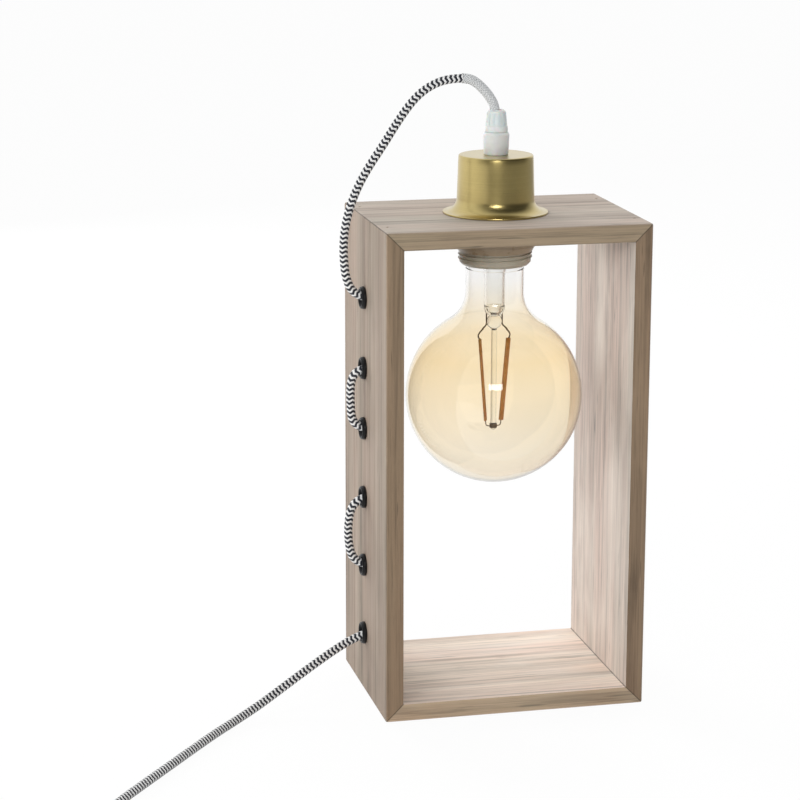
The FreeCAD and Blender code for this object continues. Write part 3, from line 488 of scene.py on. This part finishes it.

# Lamp holder: off-white moulded skirt with a screw thread, clamped by a bevelled ring below
# the board, with its cap, insert, brass screw shell and wires hidden above. The skirt's colour is
# darkened to a grey beige in painted shade, and the ring's to a brown in painted shade and a painted reflection of
# the wood.
moulded, graph, shader = new_finish("holder_painted_shade")
mist = noise(graph, placed(graph, (150.0, 150.0, 150.0)), 1.0, 5.0, 0.6)
# Painted shade: the off-white plastic is coloured a darker grey beige.
graph.links.new(ramp(graph, mist, [(0.3, (0.37, 0.325, 0.25)), (0.7, (0.44, 0.39, 0.305))]),
                shader.inputs["Base Color"])
graph.links.new(ramp(graph, mist, [(0.3, 0.26), (0.7, 0.38)]), shader.inputs["Roughness"])
shader.inputs["Subsurface Weight"].default_value = 0.1
shader.inputs["Subsurface Scale"].default_value = 0.002
bumped(graph, shader, mist, 0.05, 0.0001)
skirt = bmesh.new()
turned(skirt, eased([
    (16.7, 234.52, 0.4), (17.5, 234.5, 0.6), (19.05, 236.1, 0.5), (19.05, 263.9, 0.3), (16.7, 263.9, 0),
    (16.7, 263.3, 0), (14.5, 263.3, 0), (14.5, 261.3, 0), (16.7, 261.3, 0)]), 96)
thread = [(19.0, 0.0), (19.25, 0.35), (19.72, 0.55), (19.72, 0.9), (19.25, 1.1), (19.0, 1.45)]
pitch, start_z, thread_turns = 2.2, 236.1, 2.4
profile = [skirt.verts.new((r / 1000, 0.0, (start_z + z) / 1000)) for r, z in thread]
lines = [skirt.edges.new(pair) for pair in zip(profile, profile[1:])]
bmesh.ops.spin(
    skirt, geom=profile + lines, cent=(0, 0, 0), axis=(0, 0, 1), angle=math.tau * thread_turns,
    steps=int(72 * thread_turns), dvec=(0.0, 0.0, pitch / 1000 / 72))
holder_skirt = link_piece("threaded_skirt", skirt, "lamp", moulded)
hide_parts("holder_skirt")
ring_painted_shade_and_reflection, graph, shader = new_finish("ring_painted_shade_reflection")
mist = noise(graph, placed(graph, (150.0, 150.0, 150.0)), 1.0, 5.0, 0.6)
# Painted shade and painted reflection: the off-white ring is coloured brown, as the wood would show in it.
graph.links.new(ramp(graph, mist, [(0.3, (0.29, 0.215, 0.14)), (0.7, (0.35, 0.265, 0.175))]),
                shader.inputs["Base Color"])
graph.links.new(ramp(graph, mist, [(0.3, 0.24), (0.7, 0.36)]), shader.inputs["Roughness"])
bumped(graph, shader, mist, 0.05, 0.0001)
collar = bmesh.new()
turned(collar, eased([
    (19.15, 241.92, 0.2), (19.7, 241.92, 0.5), (21.7, 245.3, 0.6), (21.7, 252.46, 0.3),
    (19.15, 252.46, 0)]), 96)
shade_ring = link_piece("bevelled_ring", collar, "lamp", ring_painted_shade_and_reflection)
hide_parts("shade_ring")
# The hidden cap and insert share the skirt's painted shade.
dress(moulded, "holder_cap", "holder_insert")
plated = bright_steel("plated_brass", (0.72, 0.60, 0.36), 0.25, 0.1)
dress(plated, "screw_shell", "centre_contact")
for node, colour in (("live_core", (0.20, 0.07, 0.03)), ("neutral_core", (0.03, 0.09, 0.30))):
    vinyl, graph, shader = new_finish("vinyl_" + node)
    soft = noise(graph, placed(graph, (300.0, 300.0, 300.0)), 1.0, 3.0, 0.5)
    graph.links.new(ramp(graph, soft, [(0.3, tuple(c * 0.85 for c in colour)), (0.7, colour)]),
                    shader.inputs["Base Color"])
    shader.inputs["Roughness"].default_value = 0.45
    bumped(graph, shader, soft, 0.05, 0.0001)
    dress(vinyl, node)

# Bulb glass: one blown globe drawn out to its neck, tinted amber and clear near the cap.
# Its narrowed end is tucked into the cap and cemented there.
glass, graph, shader = new_finish("amber_glass")
height = graph.nodes.new("ShaderNodeSeparateXYZ")
graph.links.new(placed(graph, (1.0, 1.0, 1.0)), height.inputs[0])
drift = noise(graph, placed(graph, (24.0, 24.0, 24.0)), 1.0, 3.0, 0.5)
lift = worked(graph, "MULTIPLY_ADD", drift, 0.012, height.outputs["Z"])
level = graph.nodes.new("ShaderNodeMapRange")
level.inputs["From Min"].default_value = 0.13
level.inputs["From Max"].default_value = 0.233
graph.links.new(lift, level.inputs["Value"])
graph.links.new(ramp(graph, level.outputs[0], [
    (0.0, (0.999, 0.95, 0.86)), (0.35, (0.998, 0.92, 0.775)), (0.62, (0.998, 0.885, 0.68)),
    (0.8, (0.998, 0.945, 0.84)), (1.0, (0.998, 0.996, 0.99))]),
                shader.inputs["Base Color"])
shader.inputs["Transmission Weight"].default_value = 1.0
shader.inputs["Roughness"].default_value = 0.0
shader.inputs["IOR"].default_value = 1.45
neck, sweep, middle, neck_top = 15.6, 18.0, 163.3, 232.3


def globe_outline(wall):
    """Half the section of the globe and its concave neck, in by a wall from the outside."""
    radius, inner_neck, inner_sweep = 47.5 - wall, neck - wall, sweep + wall
    out = inner_neck + inner_sweep
    rise = math.sqrt((radius + inner_sweep) ** 2 - out**2)
    meet = math.atan2(rise, out)
    points = []
    for step in range(49):
        angle = -math.pi / 2 + (meet + math.pi / 2) * step / 48
        points.append((radius * math.cos(angle), middle + radius * math.sin(angle)))
    for step in range(1, 19):
        angle = math.pi + meet + (0.0 - meet) * step / 18
        points.append((out + inner_sweep * math.cos(angle), middle + rise + inner_sweep * math.sin(angle)))
    return points


outside = globe_outline(0.0)
inside = globe_outline(0.9)
outside[0] = (0.0, outside[0][1])
inside[0] = (0.0, inside[0][1])
bulb = bmesh.new()
tucked_end = [(neck, neck_top), (12.2, 236.3), (12.2, 241.3), (11.3, 241.3), (11.3, 236.3),
              (neck - 0.9, neck_top)]
turned(bulb, outside + tucked_end + inside[::-1], 96, closed=False)
bulb_glass = link_piece("globe_glass", bulb, "bulb", glass)
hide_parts("bulb_glass")

# Bulb cap: a thin nickel-plated shell with a rolled right-hand screw thread, cemented on the
# neck; above it a black glass insulator with the round contact in its middle.
nickel = bright_steel("nickel", (0.70, 0.69, 0.66), 0.22, 0.1)
dress(nickel, "bulb_contact")
screw_cap = bmesh.new()
cap_sides, cap_rows, cap_low, cap_high = 72, 60, 236.3, 255.0
cap_radius, thread_depth, cap_pitch = 12.98, 0.55, 3.629
rings = []
for row in range(cap_rows + 1):
    z = cap_low + (cap_high - cap_low) * row / cap_rows
    fade = min(1.0, (z - cap_low) / 2.5, (cap_high - z) / 1.5)
    ring = []
    for k in range(cap_sides):
        angle = math.tau * k / cap_sides
        wave = 0.5 - 0.5 * math.cos(math.tau * ((z - cap_low) / cap_pitch - k / cap_sides))
        radius = cap_radius - thread_depth * fade * wave
        place = (radius * math.cos(angle) / 1000, radius * math.sin(angle) / 1000, z / 1000)
        ring.append(screw_cap.verts.new(place))
    rings.append(ring)
for radius, z in ((12.0, 256.0), (10.05, 256.28), (9.8, 256.05), (12.25, 254.6), (12.25, 236.3)):
    rings.append([screw_cap.verts.new((radius * math.cos(a) / 1000, radius * math.sin(a) / 1000, z / 1000))
                  for a in (math.tau * k / cap_sides for k in range(cap_sides))])
for near, far in zip(rings, rings[1:] + rings[:1]):
    for k in range(cap_sides):
        screw_cap.faces.new((near[k], near[(k + 1) % cap_sides], far[(k + 1) % cap_sides], far[k]))
threaded_cap = link_piece("threaded_cap", screw_cap, "bulb", nickel)
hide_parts("bulb_cap")
dress(enamel, "bulb_insulator")

# Stem: a clear glass tube, flared and sealed to the neck, pinched flat over the lead-in
# wires at its lower end.
clear, graph, shader = new_finish("clear_glass")
ripple = noise(graph, placed(graph, (90.0, 90.0, 30.0)), 1.0, 2.0, 0.5)
graph.links.new(ramp(graph, ripple, [(0.3, (0.95, 0.95, 0.94)), (0.7, (0.99, 0.99, 0.98))]),
                shader.inputs["Base Color"])
shader.inputs["Transmission Weight"].default_value = 1.0
shader.inputs["Roughness"].default_value = 0.0
shader.inputs["IOR"].default_value = 1.45
bumped(graph, shader, ripple, 0.2, 0.0005)
stem = bmesh.new()
turned(stem, eased([
    (10.0, 239.3, 0), (11.1, 239.3, 0.4), (10.6, 237.8, 1.0), (6.3, 232.0, 3.0), (5.6, 228.0, 1.0),
    (5.6, 210.0, 2.0), (4.6, 207.3, 1.5), (2.6, 206.0, 0), (1.2, 206.6, 0), (3.0, 208.8, 1.0),
    (4.5, 212.0, 1.0),
    (4.5, 229.0, 1.0), (5.2, 232.6, 1.0)]), 48)
pinch = bmesh.ops.create_uvsphere(stem, u_segments=24, v_segments=12, radius=0.001)["verts"]
bmesh.ops.scale(stem, verts=pinch, vec=(4.4, 1.7, 4.5))
bmesh.ops.translate(stem, verts=pinch, vec=(0.0, 0.0, 0.2028))
stem_piece = link_piece("pinched_stem", stem, "bulb", clear)
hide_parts("bulb_stem")

# Support rod and filaments: a glass rod down the middle carries two straight strips of
# yellow phosphor, each welded to thin nickel wires at its ends.
phosphor, graph, shader = new_finish("phosphor")
grains = noise(graph, placed(graph, (900.0, 900.0, 500.0)), 1.0, 3.0, 0.6)
graph.links.new(ramp(graph, grains, [(0.3, (0.62, 0.27, 0.06)), (0.7, (0.78, 0.40, 0.12))]),
                shader.inputs["Base Color"])
shader.inputs["Roughness"].default_value = 0.45
shader.inputs["Subsurface Weight"].default_value = 0.3
shader.inputs["Subsurface Scale"].default_value = 0.001
bumped(graph, shader, grains, 0.15, 0.0002)
strips = bmesh.new()
top_z, low_z = 193.8, 148.4
for side, width, twist in ((-1, 2.4, 52.0), (1, 2.7, 12.0)):
    top_x, low_x = side * 7.9, side * 4.3
    one = bmesh.new()
    bmesh.ops.create_cube(one, size=1.0)
    bmesh.ops.scale(one, verts=one.verts, vec=(width / 1000, 0.0011, (top_z - low_z) / 1000))
    bmesh.ops.bevel(
        one, geom=one.edges, offset=0.0004, affect="EDGES", segments=3, profile=0.5, material=-1)
    turn = Matrix.Rotation(math.radians(twist), 3, "Z")
    bmesh.ops.rotate(one, verts=one.verts, cent=(0, 0, 0), matrix=turn)
    lean = math.atan2(top_x - low_x, top_z - low_z)
    bmesh.ops.rotate(one, verts=one.verts, cent=(0, 0, 0), matrix=Matrix.Rotation(lean, 3, "Y"))
    bmesh.ops.translate(one, verts=one.verts, vec=((top_x + low_x) / 2000, 0.0, (top_z + low_z) / 2000))
    held = bpy.data.meshes.new("held")
    one.to_mesh(held)
    one.free()
    strips.from_mesh(held)
    bpy.data.meshes.remove(held)
filament_strips = link_piece("filament_strips", strips, "bulb", phosphor)
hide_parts("led_filaments")
pole = bmesh.new()
turned(pole, [
    (0.0, 198.4), (1.55, 198.3), (1.5, 150.0), (1.7, 147.0), (1.7, 145.0), (1.45, 144.2),
    (0.9, 143.7), (0.0, 143.6)], 24, closed=False)
glass_rod = link_piece("glass_rod", pole, "bulb", clear)
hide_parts("support_rod")
wire_runs = (
    ((-4.2, 0.3, 209.5), (-4.3, 0.3, 204.5), (-4.2, 0.0, 200.8), (-6.2, 0.0, 199.0), (-8.6, 0.0, 196.6),
     (-8.9, 0.0, 194.8), (-7.8, 0.0, 193.2)),
    ((4.2, -0.3, 209.5), (4.3, -0.3, 204.5), (4.2, 0.0, 200.8), (6.2, 0.0, 199.0), (8.6, 0.0, 196.6),
     (8.9, 0.0, 194.8), (7.8, 0.0, 193.2)),
    ((-4.3, 0.0, 149.4), (-4.2, 0.0, 146.6), (-3.6, 0.0, 145.6), (-1.8, 0.0, 145.5)),
    ((4.3, 0.0, 149.4), (4.2, 0.0, 146.6), (3.6, 0.0, 145.6), (1.8, 0.0, 145.5)),
)


def smooth_line(name, points):
    """Points along one NURBS spline through a route given in metres."""
    curve = bpy.data.curves.new(name, "CURVE")
    curve.dimensions = "3D"
    curve.resolution_u = 24
    spline = curve.splines.new("NURBS")
    spline.points.add(len(points) - 1)
    for knot, point in zip(spline.points, points):
        knot.co = (*point, 1.0)
    spline.order_u = 3
    spline.use_endpoint_u = True
    route = bpy.data.objects.new(name, curve)
    bpy.context.scene.collection.objects.link(route)
    line = bpy.data.meshes.new_from_object(route.evaluated_get(bpy.context.evaluated_depsgraph_get()))
    places = [v.co.copy() for v in line.vertices]
    bpy.data.meshes.remove(line)
    bpy.data.objects.remove(route)
    bpy.data.curves.remove(curve)
    return places


def even_steps(places, step):
    """The same line with its points set a constant distance apart."""
    lengths = [0.0]
    for a, b in zip(places, places[1:]):
        lengths.append(lengths[-1] + (b - a).length)
    count = max(2, round(lengths[-1] / step))
    out = []
    index = 0
    for k in range(count + 1):
        target = lengths[-1] * k / count
        while index < len(lengths) - 2 and lengths[index + 1] < target:
            index += 1
        span = lengths[index + 1] - lengths[index]
        share = (target - lengths[index]) / span if span else 0.0
        out.append(places[index].lerp(places[index + 1], min(1.0, share)))
    return out, lengths[-1]


def tube_mesh(name, points, radius, around=4):
    """A round tube along the points with its UV map in metres: along it, then round it."""
    curve = bpy.data.curves.new(name, "CURVE")
    curve.dimensions = "3D"
    curve.twist_mode = "MINIMUM"
    curve.bevel_depth = radius
    curve.bevel_resolution = around
    curve.use_fill_caps = False
    spline = curve.splines.new("POLY")
    spline.points.add(len(points) - 1)
    for knot, point in zip(spline.points, points):
        knot.co = (*point, 1.0)
    holder = bpy.data.objects.new(name, curve)
    bpy.context.scene.collection.objects.link(holder)
    mesh = bpy.data.meshes.new_from_object(holder.evaluated_get(bpy.context.evaluated_depsgraph_get()))
    bpy.data.objects.remove(holder)
    bpy.data.curves.remove(curve)
    sides = len(mesh.vertices) // len(points)
    run = [0.0]
    for a, b in zip(points, points[1:]):
        run.append(run[-1] + (b - a).length)
    while mesh.uv_layers:
        mesh.uv_layers.remove(mesh.uv_layers[0])
    chart = mesh.uv_layers.new(name="along")
    for face in mesh.polygons:
        rings = [mesh.loops[i].vertex_index // sides for i in face.loop_indices]
        turns = [mesh.loops[i].vertex_index % sides for i in face.loop_indices]
        wraps = max(turns) - min(turns) > sides / 2
        for loop, ring, turn in zip(face.loop_indices, rings, turns):
            share = (turn + sides if wraps and turn < sides / 2 else turn) / sides
            chart.data[loop].uv = (run[ring], share * math.tau * radius)
    mesh.shade_smooth()
    return mesh


# Painted shade: the nickel wires and the collar at the rod's foot are coloured dark brown, standing in for the
# dark edges that the glass shows round them.
lead_wire_painted_shade = bright_steel("wire_painted_shade", (0.20, 0.145, 0.09), 0.35, 0.2)
wires = bmesh.new()
for k, run in enumerate(wire_runs):
    places, _ = even_steps(smooth_line("wire_%d" % k, [tuple(c / 1000 for c in p) for p in run]), 0.0006)
    thin = tube_mesh("wire_tube_%d" % k, places, 0.00042 if k < 2 else 0.0003, 2)
    wires.from_mesh(thin)
    bpy.data.meshes.remove(thin)
turned(wires, eased([(1.72, 144.6, 0.3), (2.05, 144.6, 0.3), (2.05, 146.8, 0.3), (1.72, 146.8, 0.3)]), 24)
lead_wires = link_piece("lead_wires", wires, "bulb", lead_wire_painted_shade)
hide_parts("filament_wires")
circuit, graph, shader = new_finish("circuit_board")
mask = noise(graph, placed(graph, (420.0, 420.0, 420.0)), 1.0, 2.0, 0.5)
graph.links.new(ramp(graph, mask, [(0.4, (0.02, 0.10, 0.05)), (0.65, (0.05, 0.20, 0.10))]),
                shader.inputs["Base Color"])
shader.inputs["Roughness"].default_value = 0.4
bumped(graph, shader, mask, 0.1, 0.0002)
dress(circuit, "led_driver")

# Inline switch: two moulded halves screwed together from below, with a rocker across them.
moulded_black, graph, shader = new_finish("moulded_black")
pebble = noise(graph, placed(graph, (1500.0, 1500.0, 1500.0)), 1.0, 3.0, 0.6)
graph.links.new(ramp(graph, pebble, [(0.35, (0.012, 0.012, 0.013)), (0.7, (0.026, 0.026, 0.028))]),
                shader.inputs["Base Color"])
graph.links.new(ramp(graph, pebble, [(0.3, 0.38), (0.7, 0.52)]), shader.inputs["Roughness"])
bumped(graph, shader, pebble, 0.25, 0.00012)
dress(moulded_black, "switch_base", "switch_cover", "switch_rocker", "plug_body")
dress(nickel, "plug_pins")

# Cord: two vinyl cores in a woven textile sleeve, black and white in a herringbone.
# It rises from the grip, bends over the corner and is laced in and out of the six eyelets.
sleeve_route = ((0.0, 0.0, 0.3076), (-0.0002, 0.0, 0.3172), (-0.0044, 0.0, 0.3246), (-0.0106, 0.0, 0.3309),
                (-0.0152, 0.0, 0.3333), (-0.0186, 0.0, 0.3334))
supply_route = (
    (-0.0186, 0.0, 0.3334), (-0.0256, 0.0, 0.3334), (-0.0342, 0.0, 0.3308), (-0.0416, 0.0, 0.3260),
    (-0.0478, 0.0, 0.3193), (-0.0546, 0.0, 0.3096), (-0.0612, 0.0, 0.2992), (-0.0686, 0.0, 0.2886),
    (-0.0749, 0.0, 0.2776), (-0.0796, 0.0, 0.2653), (-0.0822, 0.0, 0.2522), (-0.0822, 0.0, 0.2396),
    (-0.0808, 0.0, 0.2284), (-0.07625, 0.0, 0.2208), (-0.06625, 0.0, 0.2188), (-0.05825, 0.0, 0.2172),
    (-0.0546, 0.0, 0.2114), (-0.0539, 0.0, 0.2005), (-0.0551, 0.0, 0.1894), (-0.0589, 0.0, 0.1833),
    (-0.06625, 0.0, 0.1812), (-0.0744, 0.0, 0.1802), (-0.0782, 0.0, 0.1758), (-0.0788, 0.0, 0.1680),
    (-0.0786, 0.0, 0.1602), (-0.0780, 0.0, 0.1530), (-0.0742, 0.0, 0.1490), (-0.06625, 0.0, 0.1479),
    (-0.0583, 0.0, 0.1464), (-0.0547, 0.0, 0.1410), (-0.0538, 0.0, 0.1296), (-0.0549, 0.0, 0.1186),
    (-0.0587, 0.0, 0.1122), (-0.06625, 0.0, 0.1101), (-0.0744, 0.0, 0.1090), (-0.0788, 0.0, 0.1040),
    (-0.0802, 0.0, 0.0952), (-0.0801, 0.0, 0.0864), (-0.0786, 0.0, 0.0779), (-0.0743, 0.0, 0.0732),
    (-0.06625, 0.0, 0.0721), (-0.0583, 0.0, 0.0706), (-0.0546, 0.0, 0.0651), (-0.0539, 0.0, 0.0529),
    (-0.0552, 0.0, 0.0418), (-0.05925, 0.0, 0.03555), (-0.06625, 0.0, 0.0338), (-0.07505, 0.0, 0.0316),
    (-0.0860, -0.0020, 0.0270), (-0.1011, -0.0070, 0.0196), (-0.1187, -0.0146, 0.0112), (-0.1339, -0.0236, 0.0050),
    (-0.1484, -0.0364, 0.0024), (-0.1632, -0.0547, 0.0025), (-0.1796, -0.0766, 0.0024), (-0.1986, -0.1026, 0.0025),
    (-0.2170, -0.1274, 0.0024), (-0.2344, -0.1524, 0.0025), (-0.2464, -0.1756, 0.0030), (-0.2502, -0.1885, 0.0043),
    (-0.2486, -0.2005, 0.0060), (-0.2416, -0.2080, 0.0074), (-0.2310, -0.2100, 0.0080), (-0.2220, -0.2100, 0.0080))


def fraction(graph, value, period):
    """How far a length is through its repeat, from 0 to 1."""
    return worked(graph, "FRACT", worked(graph, "DIVIDE", value, period))


def textile(name, dark, pale, repeat, columns, radius, white_share, steepness):
    """Woven cord cover: zigzag bands whose points lie in columns round the cord."""
    finish, graph, shader = new_finish(name)
    chart = graph.nodes.new("ShaderNodeUVMap")
    chart.uv_map = "along"
    parts = graph.nodes.new("ShaderNodeSeparateXYZ")
    graph.links.new(chart.outputs["UV"], parts.inputs[0])
    column = math.tau * radius / columns
    across = fraction(graph, parts.outputs["Y"], column)
    fold = worked(graph, "PINGPONG", across, 0.5)
    slant = worked(graph, "MULTIPLY_ADD", fold, column * steepness, parts.outputs["X"])
    stripe = fraction(graph, slant, repeat)
    wobble = noise(graph, placed(graph, (900.0, 900.0, 1.0), source="UV"), 1.0, 2.0, 0.5)
    shaky = worked(graph, "MULTIPLY_ADD", wobble, 0.1, stripe)
    colour = ramp(graph, shaky, [
        (0.03, dark), (0.09, pale), (white_share, pale), (white_share + 0.06, dark)])
    yarn = worked(graph, "PINGPONG", fraction(graph, parts.outputs["Y"], column / 3), 0.5)
    stitch = worked(graph, "PINGPONG", fraction(graph, slant, repeat / 2), 0.5)
    relief = worked(graph, "MULTIPLY_ADD", yarn, 0.5, stitch)
    # Painted shade: the colour is darkened where the weave sinks between yarns and stitches.
    shade = ramp(graph, relief, [(0.05, 0.72), (0.4, 1.0)])
    graph.links.new(mixed(graph, "MULTIPLY", 0.8, colour, shade), shader.inputs["Base Color"])
    shader.inputs["Roughness"].default_value = 0.72
    shader.inputs["Sheen Weight"].default_value = 0.3
    shader.inputs["Sheen Roughness"].default_value = 0.4
    bumped(graph, shader, relief, 0.8, 0.00035)
    return finish


def cord_piece(name, route, radius, finish, replaced, step=0.0009):
    """A mesh tube along a route's smooth line, with the line's points and its length."""
    places, length = even_steps(smooth_line(name, route), step)
    mesh = tube_mesh(name, places, radius)
    mesh.materials.append(finish)
    piece = bpy.data.objects.new(name, mesh)
    bpy.context.scene.collection.objects.link(piece)
    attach(piece, "lamp")
    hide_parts(*replaced)
    return piece, places, length


herringbone = textile(
    "herringbone_textile", (0.018, 0.02, 0.03), (0.80, 0.80, 0.79), 0.00248, 4, 0.0023, 0.50, 0.5)
white_braid = textile("white_braid", (0.50, 0.52, 0.53), (0.76, 0.77, 0.77), 0.0016, 8, 0.0026, 0.7, 1.25)
cord_piece("white_sleeve", sleeve_route, 0.0026, white_braid, ("cord_sleeve",))
supply, supply_path, supply_length = cord_piece(
    "supply_cord", supply_route, 0.0023, herringbone, ("cord_upper", "cord_lacing", "cord_lead"))

# Put-away length: three turns in on the floor and three turns out on top of them, held by
# two bands, then the plug.
coil_route = [(-0.1620, -0.2100, 0.0080), (-0.1540, -0.2100, 0.0080), (-0.1460, -0.2100, 0.0055),
              (-0.1370, -0.2100, 0.0029), (-0.1290, -0.2100, 0.0029)]
middle_x = -0.1240
place_y, facing = -0.2100, -1
radii = [31.5, 28.9, 26.3, 23.7, 21.1, 18.5, 15.9, 18.5, 21.1, 23.7, 26.3, 28.9, 31.5]
for turn, radius in enumerate(radii):
    r = radius / 1000
    centre_y = place_y + facing * r
    for k in range(1, 9):
        angle = math.pi * (k - 0.5) / 8
        low, high = 0.0029, 0.0082
        z = low if turn < 6 else high if turn > 6 else low + (high - low) * (k - 0.5) / 8
        spread = r / math.cos(math.pi / 16)
        coil_route.append((
            middle_x - facing * spread * math.sin(angle), centre_y - facing * spread * math.cos(angle), z))
    place_y += 2 * facing * r
    facing = -facing
coil_route += [(-0.1240, -0.2730, 0.0082), (-0.1286, -0.2730, 0.0082), (-0.1370, -0.2730, 0.0082),
               (-0.1470, -0.2730, 0.00685), (-0.1560, -0.2730, 0.00685)]
put_away, put_away_path, put_away_length = cord_piece(
    "put_away_cord", coil_route, 0.0023, herringbone, ("coil_link", "cord_coil", "plug_link"))

# Strain reliefs: moulded black sleeves that taper off along the cord, ribbed so that they bend,
# at both ends of the switch and where the cord enters its plug.
def relief_sleeve(name, path, housing_radius):
    """A ribbed sleeve round the start of a path, thick at the housing and thin at its end."""
    length, rib_spacing, rib_height = 0.0225, 0.0028, 0.0003
    tip_radius, wall_hidden, sides = 0.00275, 0.0022, 24
    points, _ = even_steps(path, 0.00035)
    run = [0.0]
    for a, b in zip(points, points[1:]):
        run.append(run[-1] + (b - a).length)
    count = sum(1 for r in run if r <= length)
    sleeve_mesh = bmesh.new()

    def ring(k, radius):
        tangent = (points[k + 1] - points[max(0, k - 1)]).normalized()
        side = tangent.cross(Vector((0.0, 0.0, 1.0))).normalized()
        rise = side.cross(tangent)
        angles = (math.tau * i / sides for i in range(sides))
        return [sleeve_mesh.verts.new(points[k] + (side * math.cos(a) + rise * math.sin(a)) * radius)
                for a in angles]

    rings = []
    for k in range(count):
        radius = housing_radius + (tip_radius - housing_radius) * run[k] / length
        groove = 0.5 - 0.5 * math.cos(math.tau * run[k] / rib_spacing)
        rings.append(ring(k, radius - rib_height * groove * min(1.0, (length - run[k]) / 0.003)))
    rings += [ring(count - 1, wall_hidden), ring(0, wall_hidden)]
    for near, far in zip(rings, rings[1:] + rings[:1]):
        for i in range(sides):
            j = (i + 1) % sides
            sleeve_mesh.faces.new((near[i], near[j], far[j], far[i]))
    return link_piece(name, sleeve_mesh, "lamp", moulded_black)


switch_in = relief_sleeve("relief_switch_in", supply_path[::-1], 0.0046)
switch_out = relief_sleeve("relief_switch_out", put_away_path, 0.0046)
plug_neck = Vector((-0.1680, -0.2730, 0.00685))
plug_relief = relief_sleeve("relief_plug", [plug_neck] + put_away_path[::-1], 0.0052)

# Ties: two flat woven straps round the coil, each lapped over itself on top.
def tie_strap(mesh, left, right, low, high):
    """One strap round a rounded rectangle of the XZ plane, its end lapped over its start."""
    corner, thick, half, lap, middle_y = 1.5, 0.5, 2.0, 9.0, -241.5
    loop = []
    for x, z, start in ((right - corner, high - corner, 90), (right - corner, low + corner, 0),
                        (left + corner, low + corner, -90), (left + corner, high - corner, -180)):
        for step in range(7):
            angle = math.radians(start - 90 * step / 6)
            out_x, out_z = math.cos(angle), math.sin(angle)
            loop.append((x + corner * out_x, z + corner * out_z, out_x, out_z))
    start_x = (left + right) / 2 - lap / 2
    loop = [(start_x, high, 0.0, 1.0)] + loop
    loop += [(start_x - 1.5, high, 0.0, 1.0), (start_x, high + thick + 0.04, 0.0, 1.0),
             (start_x + lap, high + thick + 0.04, 0.0, 1.0)]
    outline = ((-half + 0.1, 0.0), (-half, 0.12), (-half, 0.38), (-half + 0.1, thick),
               (half - 0.1, thick), (half, 0.38), (half, 0.12), (half - 0.1, 0.0))
    rings = [[mesh.verts.new(((x + across * nx) / 1000, (middle_y + y) / 1000, (z + across * nz) / 1000))
              for y, across in outline] for x, z, nx, nz in loop]
    for near, far in zip(rings, rings[1:]):
        for i in range(len(outline)):
            j = (i + 1) % len(outline)
            mesh.faces.new((near[i], near[j], far[j], far[i]))
    mesh.faces.new(rings[0])
    mesh.faces.new(rings[-1])


woven, graph, shader = new_finish("woven_strap")
weave = noise(graph, placed(graph, (2200.0, 500.0, 900.0)), 1.0, 2.0, 0.5)
graph.links.new(ramp(graph, weave, [(0.35, (0.011, 0.011, 0.012)), (0.7, (0.03, 0.03, 0.032))]),
                shader.inputs["Base Color"])
shader.inputs["Roughness"].default_value = 0.8
bumped(graph, shader, weave, 0.4, 0.0002)
straps = bmesh.new()
tie_strap(straps, -111.23, -89.37, 0.5, 11.33)
tie_strap(straps, -156.03, -139.37, 0.5, 11.33)
ties = link_piece("tie_straps", straps, "lamp", woven)
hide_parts("coil_ties")
